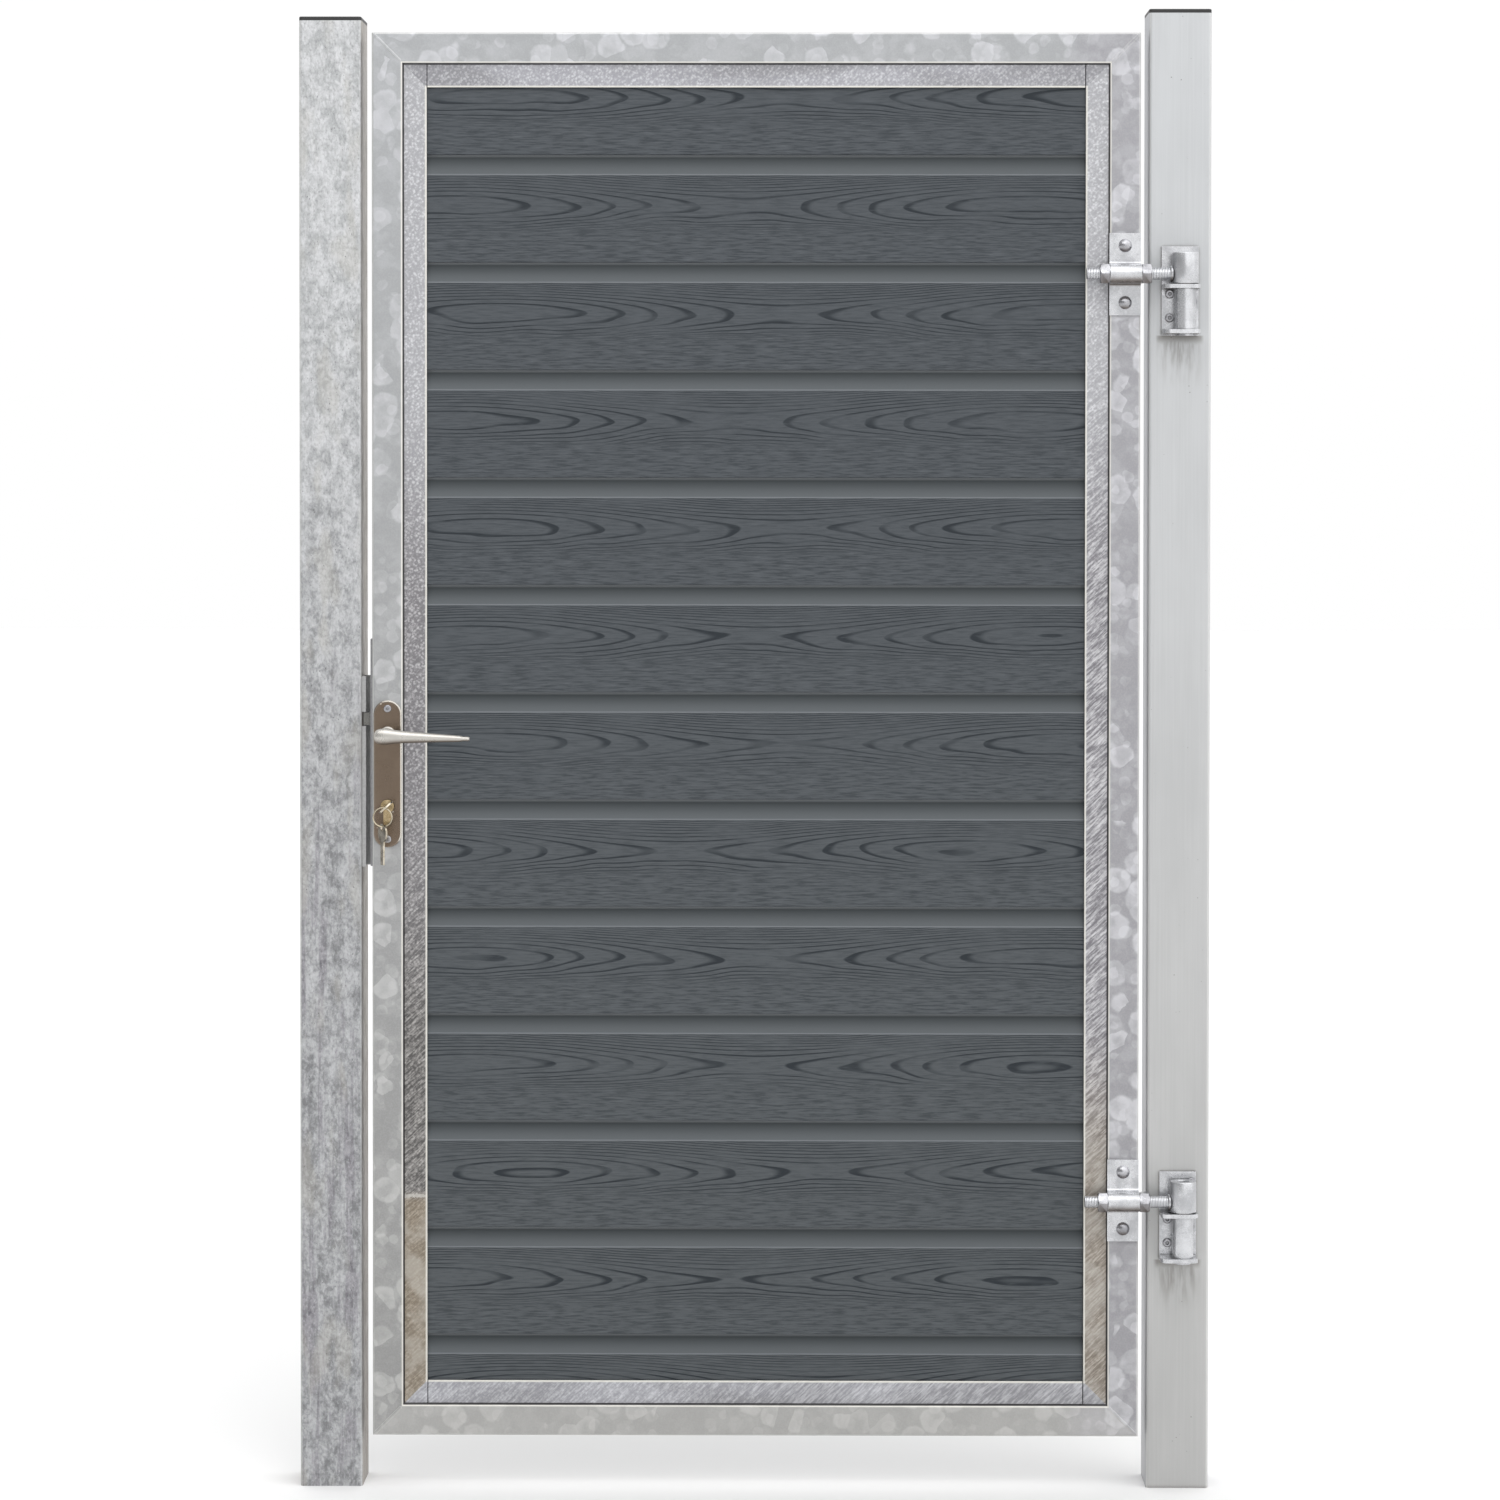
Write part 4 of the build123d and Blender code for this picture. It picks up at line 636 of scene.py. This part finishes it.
def lock_steel():
    """Steel painted near black on the post as the shade in the gap, zinc-bright along its front edge, and
    paler on the leaf's edge.
    """
    paint = Finish("lock_steel", roughness=0.42, metallic=0.6)
    grain = paint.noise(paint.place(), 300.0, detail=4.0)
    dark = paint.mix(grain, shade(30, 29, 30), shade(56, 55, 56))
    bright = paint.mix(grain, shade(150), shade(196))
    # Painted shade: the post's part is near black where it stands in the gap, and only its front-facing
    # faces are bright.
    post_part_with_gap_shade = paint.mix(paint.step(paint.facing("Y"), -0.5, -0.9), dark, bright)
    on_leaf = paint.mix(grain, shade(128, 128, 130), shade(166, 166, 168))
    gap_middle = leaf_low.x - 0.004
    is_leaf = paint.step(paint.axis("X"), gap_middle - 0.0005, gap_middle + 0.0005)
    paint.colour(paint.mix(is_leaf, post_part_with_gap_shade, on_leaf))
    paint.roughness(paint.step(grain, 0.3, 0.7, 0.48, 0.36))
    paint.relief(grain, 0.00005)
    return paint.material


def cap_plastic():
    """Black plastic with a fine tooth."""
    paint = Finish("cap_plastic", roughness=0.5)
    grain = paint.noise(paint.place(), 900.0, detail=2.0)
    paint.colour(paint.mix(grain, shade(34), shade(46)))
    paint.relief(grain, 0.0001)
    return paint.material


def finishes():
    """Every finish by the record's slot name."""
    return {
        "post_zinc_mottled": mottled_post_zinc(),
        "post_zinc_smooth": smooth_post_zinc(),
        "frame_zinc": spangled_frame_zinc(),
        "channel_zinc": drawn_channel_zinc(),
        "board_composite": composite_board(),
        "cap_plastic": cap_plastic(),
        "hinge_zinc": plain_metal(
            "hinge_zinc", (202, 203, 206), 0.28, 0.78, spread=18, underside_shade=0.9, hollow_shade=0.9),
        "fastener_zinc": plain_metal(
            "fastener_zinc", (174, 174, 178), 0.24, 0.85, spread=18, underside_shade=0.95, hollow_shade=0.95),
        "lock_steel": lock_steel(),
        "bolt_steel": plain_metal("bolt_steel", (118, 117, 114), 0.28, 0.9),
        "escutcheon_metal": plain_metal(
            "escutcheon_metal", (118, 103, 89), 0.24, 0.75, spread=3, underside_shade=0.0, hollow_shade=0.4,
            painted_highlights=escutcheon_highlights),
        "lever_aluminium": plain_metal(
            "lever_aluminium", (197, 194, 188), 0.30, 0.65, spread=4, underside_shade=0.95, hollow_shade=0.6),
        "cylinder_brass": plain_metal(
            "cylinder_brass", (176, 156, 120), 0.22, 0.95, grain=420.0, spread=26),
        # The keys' wide spread of tone is partly painted reflection, standing in for glints.
        "key_nickel": plain_metal("key_nickel", (186, 177, 160), 0.14, 1.0, grain=420.0, spread=44),
        "spring_steel": plain_metal("spring_steel", (196, 186, 164), 0.22, 0.95),
    }


def dress(finish_of):
    """Give every CAD node the finish that the record names for it."""
    for part in frame["record"]["subparts"]:
        mesh = nodes[part["node"]].data
        mesh.materials.clear()
        mesh.materials.append(finish_of[part["material_slot"]])


# Ways of working


def select_only(*pieces):
    """Select these pieces and nothing else, with the first of them active."""
    bpy.ops.object.select_all(action="DESELECT")
    for piece in pieces:
        piece.select_set(True)
    bpy.context.view_layer.objects.active = pieces[0]


def take_up(piece):
    """Open one piece for editing, with nothing on it selected."""
    select_only(piece)
    bpy.ops.object.mode_set(mode="EDIT")
    bpy.ops.mesh.select_all(action="DESELECT")


def put_down():
    """Go back to whole pieces."""
    bpy.ops.object.mode_set(mode="OBJECT")


def settle():
    """Apply the selected piece's place, turn and size to its mesh."""
    bpy.ops.object.transform_apply(location=True, rotation=True, scale=True)


def pick(piece, kind, test):
    """Select only the faces, edges or verts that pass a test."""
    bpy.ops.mesh.select_all(action="DESELECT")
    bpy.ops.mesh.select_mode(type={"verts": "VERT", "edges": "EDGE", "faces": "FACE"}[kind])
    shape = bmesh.from_edit_mesh(piece.data)
    for element in [element for element in getattr(shape, kind) if test(element)]:
        element.select_set(True)
    bmesh.update_edit_mesh(piece.data)


def modify(piece, kind, **settings):
    """Add a modifier to a piece and apply it."""
    select_only(piece)
    change = piece.modifiers.new(kind.lower(), kind)
    for name, value in settings.items():
        setattr(change, name, value)
    bpy.ops.object.modifier_apply(modifier=change.name)


def joined(name, pieces):
    """Several shapes made one piece."""
    select_only(*pieces)
    bpy.ops.object.join()
    pieces[0].name = name
    return pieces[0]


def finished(piece, name, body, slot, angle=35.0):
    """Settle a piece, smooth it, dress it and set it on its body."""
    select_only(piece)
    settle()
    bpy.ops.object.shade_smooth_by_angle(angle=math.radians(angle))
    piece.name = name
    piece.data.name = name
    piece.data.materials.clear()
    piece.data.materials.append(finish_of[slot])
    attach(piece, body)
    return piece


def copied(piece, name, change):
    """A copy with its own mesh, moved or turned by a matrix."""
    twin = piece.copy()
    twin.data = piece.data.copy()
    twin.name = name
    bpy.context.collection.objects.link(twin)
    twin.data.transform(change)
    return twin


def cylinder(axis, middle, radius, depth, vertices):
    """A closed cylinder along X or Y."""
    bpy.ops.mesh.primitive_cylinder_add(
        vertices=vertices, radius=radius, depth=depth, location=middle, rotation=turned_to[axis])
    settle()
    return bpy.context.object


def ring(axis, middle, radius, thickness):
    """A ring about X or Y, its thickness the radius of its round section."""
    bpy.ops.mesh.primitive_torus_add(
        major_segments=48, minor_segments=12, major_radius=radius, minor_radius=thickness,
        location=middle, rotation=turned_to[axis])
    settle()
    return bpy.context.object


# Hinge pieces


def hexagon_nut(size, thickness):
    """A hexagon nut along X from the origin, size across its flats, with both its faces chamfered."""
    corner_radius = size / math.sqrt(3)
    chamfer_height = 0.075 * size
    chamfer_share = 0.86
    middle = (thickness / 2, 0.0, 0.0)
    bpy.ops.mesh.primitive_cylinder_add(
        vertices=6, radius=corner_radius, depth=thickness, location=middle, rotation=turned_to["X"])
    nut = bpy.context.object
    turned = cylinder("X", middle, corner_radius * 1.002, thickness - 2 * chamfer_height, 60)
    take_up(turned)
    for side in (-1.0, 1.0):
        pick(turned, "faces", lambda face: face.normal.x * side > 0.9)
        outwards = (side * chamfer_height, 0.0, 0.0)
        bpy.ops.mesh.extrude_region_move(TRANSFORM_OT_translate={"value": outwards})
        bpy.ops.transform.resize(value=(1.0, chamfer_share, chamfer_share))
    put_down()
    modify(nut, "BOOLEAN", operation="INTERSECT", object=turned, solver="EXACT")
    bpy.data.objects.remove(turned)
    settle()
    sharp = math.radians(18.0)
    modify(nut, "BEVEL", width=0.012 * size, segments=2, limit_method="ANGLE", angle_limit=sharp)
    return nut


def thread(start, length, crest_radius, pitch):
    """A threaded length along X from a start place, closed at its ends by its core."""
    depth = 0.5 * pitch
    join_distance = 0.00001
    bpy.ops.object.select_all(action="DESELECT")
    bpy.ops.mesh.primitive_grid_add(x_subdivisions=4, y_subdivisions=1, size=pitch)
    helix = bpy.context.object
    take_up(helix)
    pick(helix, "verts", lambda vert: vert.co.y > 0.0)
    bpy.ops.mesh.delete(type="VERT")
    pick(helix, "verts", lambda vert: True)
    bpy.ops.transform.translate(value=(pitch / 2, pitch / 2, crest_radius - depth))
    pick(helix, "verts", lambda vert: abs(vert.co.x - pitch / 2) < 0.3 * pitch)
    bpy.ops.transform.translate(value=(0.0, 0.0, depth))
    put_down()
    turns = max(1, round(length / pitch) - 1)
    modify(
        helix, "SCREW", axis="X", screw_offset=pitch, iterations=turns, steps=20, render_steps=20,
        use_merge_vertices=True, merge_threshold=join_distance)
    take_up(helix)
    bpy.ops.mesh.select_all(action="SELECT")
    bpy.ops.mesh.remove_doubles(threshold=join_distance)
    put_down()
    core = cylinder("X", (length / 2, 0.0, 0.0), crest_radius - depth * 0.96, length, 40)
    take_up(core)
    pick(core, "faces", lambda face: abs(face.normal.x) > 0.9)
    bpy.ops.mesh.bevel(offset=0.12 * crest_radius, segments=2, affect="EDGES")
    put_down()
    rod = joined("rod", [core, helix])
    rod.data.transform(Matrix.Translation(start))
    return rod


def hinge_rods():
    """The threaded rods, welded to the barrels that turn on the pins."""
    barrel_radius = eye_high.x - pin_x
    barrel_middle = (pin_x, pin_y, (eye_low.z + eye_high.z) / 2)
    bpy.ops.mesh.primitive_cylinder_add(
        vertices=72, radius=barrel_radius, depth=eye_high.z - eye_low.z, end_fill_type="NOTHING",
        location=barrel_middle)
    barrel = bpy.context.object
    modify(barrel, "SOLIDIFY", thickness=barrel_radius - barrel_bore_radius, offset=-1.0)
    sharp = math.radians(40.0)
    modify(barrel, "BEVEL", width=0.0011, segments=3, limit_method="ANGLE", angle_limit=sharp)
    settle()
    rod_start = Vector((eye_low.x, pin_y, rod_height))
    rod = thread(rod_start, pin_x - barrel_radius * 0.75 - eye_low.x, rod_radius, rod_pitch)
    # The weld that joins them
    collar = ring("X", (pin_x - barrel_radius - 0.0005, pin_y, rod_height), 0.0082, 0.0024)
    modify(collar, "DISPLACE", strength=0.0012, mid_level=0.5, texture=weld_ripple())
    upper = joined("upper_hinge_rod", [barrel, rod, collar])
    lower = copied(upper, "lower_hinge_rod", Matrix.Translation((0.0, 0.0, -hinge_drop)))
    for piece, node in ((upper, "upper_eye_bolt"), (lower, "lower_eye_bolt")):
        finished(piece, piece.name, "leaf", "hinge_zinc")
        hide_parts(node)


def weld_ripple():
    """A small lumpy pattern that roughens a weld."""
    ripple = bpy.data.textures.get("weld_ripple") or bpy.data.textures.new("weld_ripple", "CLOUDS")
    ripple.noise_scale = 0.003
    return ripple


def hinge_nuts():
    """Two nuts on each rod that clamp its saddle, and the nuts and washers behind the leaf."""
    nut_thickness = saddle_low.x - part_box("adjusting_nuts")[0][0]
    model = hexagon_nut(adjusting_nut_size, nut_thickness)
    nuts = []
    for level in (0.0, -hinge_drop):
        for x in (saddle_low.x - nut_thickness, saddle_high.x):
            nuts.append(copied(model, "nut", Matrix.Translation((x, pin_y, rod_height + level))))
    bpy.data.objects.remove(model)
    clamp = joined("hinge_adjusting_nuts", nuts)
    finished(clamp, clamp.name, "leaf", "fastener_zinc", 25.0)
    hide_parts("adjusting_nuts")

    low, high = (Vector(corner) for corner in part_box("carriage_nuts"))
    small = hexagon_nut(rear_nut_size, high.y - low.y - washer_thickness)
    behind_washer = Matrix.Translation((0.0, washer_thickness, 0.0))
    small.data.transform(behind_washer @ Matrix.Rotation(quarter_turn, 4, "Z"))
    washer = cylinder("Y", (0.0, washer_thickness / 2, 0.0), washer_radius, washer_thickness, 48)
    modify(washer, "BEVEL", width=0.0003, segments=2, limit_method="ANGLE")
    model = joined("rear_nut", [small, washer])
    middle_x = (low.x + high.x) / 2
    bolt_rise = (high.z - low.z - 2 * washer_radius - hinge_drop) / 2
    nuts = []
    for level in (0.0, -hinge_drop):
        for rise in (bolt_rise, -bolt_rise):
            spot = Vector((middle_x, low.y, rod_height + level + rise))
            nuts.append(copied(model, "nut", Matrix.Translation(spot)))
    bpy.data.objects.remove(model)
    rear = joined("saddle_bolt_nuts", nuts)
    finished(rear, rear.name, "leaf", "fastener_zinc", 25.0)
    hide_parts("carriage_nuts")


# Lock furniture


def lever(is_front):
    """A cast lever: a rounded nose over the spindle, a grip that tapers away, and a small end stop."""
    node = "front_lever" if is_front else "rear_lever"
    low, high = (Vector(corner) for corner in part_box(node))
    outwards = -1.0 if is_front else 1.0
    plate = high.y if is_front else low.y
    tip = low.y if is_front else high.y
    sag = 0.003
    # Along the grip from the spindle: the place, and the half thickness and half height there
    sections = (
        (-0.0128, 0.0022, 0.0030), (-0.0120, 0.0044, 0.0062), (-0.0096, 0.0058, 0.0088),
        (-0.0050, 0.0064, 0.0101), (0.0010, 0.0066, 0.0103), (0.0080, 0.0065, 0.0096),
        (0.0180, 0.0062, 0.0083), (0.0320, 0.0058, 0.0073), (0.0500, 0.0054, 0.0064),
        (0.0700, 0.0049, 0.0054), (0.0880, 0.0043, 0.0045), (0.0985, 0.0040, 0.0040),
        (0.0990, 0.0032, 0.0032), (0.1000, 0.0030, 0.0030), (0.1075, 0.0030, 0.0030),
        (0.1090, 0.0022, 0.0022),
    )
    thickest = max(section[1] for section in sections)
    grip_y = tip - outwards * thickest
    reached, thick, tall = sections[0]
    bpy.ops.object.select_all(action="DESELECT")
    bpy.ops.mesh.primitive_circle_add(
        vertices=32, radius=1.0, fill_type="NGON", location=(spindle_x + reached, grip_y, spindle_z),
        rotation=turned_to["X"])
    grip = bpy.context.object
    grip.scale = (tall, thick, 1.0)
    settle()
    take_up(grip)
    bpy.ops.mesh.select_mode(type="FACE")
    bpy.ops.mesh.select_all(action="SELECT")
    for place, next_thick, next_tall in sections[1:]:
        fall = -sag * (max(0.0, place) - max(0.0, reached)) / sections[-1][0]
        bpy.ops.mesh.extrude_region_move(TRANSFORM_OT_translate={"value": (place - reached, 0.0, fall)})
        bpy.ops.transform.resize(value=(1.0, next_thick / thick, next_tall / tall))
        reached, thick, tall = place, next_thick, next_tall
    bpy.ops.mesh.select_all(action="SELECT")
    bpy.ops.mesh.normals_make_consistent(inside=False)
    put_down()
    modify(grip, "SUBSURF", levels=1, render_levels=1)
    # The neck that comes out of the plate, with a rounded collar at its foot
    neck_middle = (spindle_x, (grip_y + plate) / 2, spindle_z)
    neck = cylinder("Y", neck_middle, 0.0078, abs(grip_y - plate), 48)
    collar = ring("Y", (spindle_x, plate + outwards * 0.0024, spindle_z), 0.0080, 0.0022)
    handle = joined("front_lever_handle" if is_front else "rear_lever_handle", [grip, neck, collar])
    finished(handle, handle.name, "levers", "lever_aluminium", 40.0)
    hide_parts(node)


# Welds


def corner_welds():
    """A ground-down bead along each mitre of the leaf's frame, front and rear."""
    tube = leaf_high.x - infill_high.x
    tube_rounding = 0.003
    bead_length = (tube - 2 * tube_rounding) * math.sqrt(2)
    bead_radius = 0.0021
    ripple_step = 0.0014
    bpy.ops.object.select_all(action="DESELECT")
    bpy.ops.mesh.primitive_uv_sphere_add(
        segments=14, ring_count=8, radius=bead_radius, location=(-bead_length / 2, 0.0, 0.0))
    bead = bpy.context.object
    take_up(bead)
    bpy.ops.mesh.select_all(action="SELECT")
    bpy.ops.transform.resize(value=(0.75, 0.26, 1.0))
    put_down()
    settle()
    modify(
        bead, "ARRAY", count=int(bead_length / ripple_step), use_relative_offset=False,
        use_constant_offset=True, constant_offset_displace=(ripple_step, 0.0, 0.0))
    modify(bead, "DISPLACE", strength=0.0006, mid_level=0.5, texture=weld_ripple())
    beads = []
    half = tube / 2
    for x, across in ((leaf_low.x + half, 1), (leaf_high.x - half, -1)):
        for z, up in ((leaf_low.z + half, 1), (leaf_high.z - half, -1)):
            for y in (leaf_low.y, leaf_high.y):
                turn = Matrix.Rotation(math.radians(-45.0 * across * up), 4, "Y")
                beads.append(copied(bead, "bead", Matrix.Translation((x, y, z)) @ turn))
    bpy.data.objects.remove(bead)
    finished(joined("frame_corner_welds", beads), "frame_corner_welds", "leaf", "frame_zinc", 60.0)


camera()
sky()
floor()
softbox("overhead", (-0.8, -2.6, 4.2), (0.0, 0.0, 1.0), (3.5, 2.5), 45.0)
finish_of = finishes()
dress(finish_of)
hinge_rods()
hinge_nuts()
lever(is_front=True)
lever(is_front=False)
corner_welds()
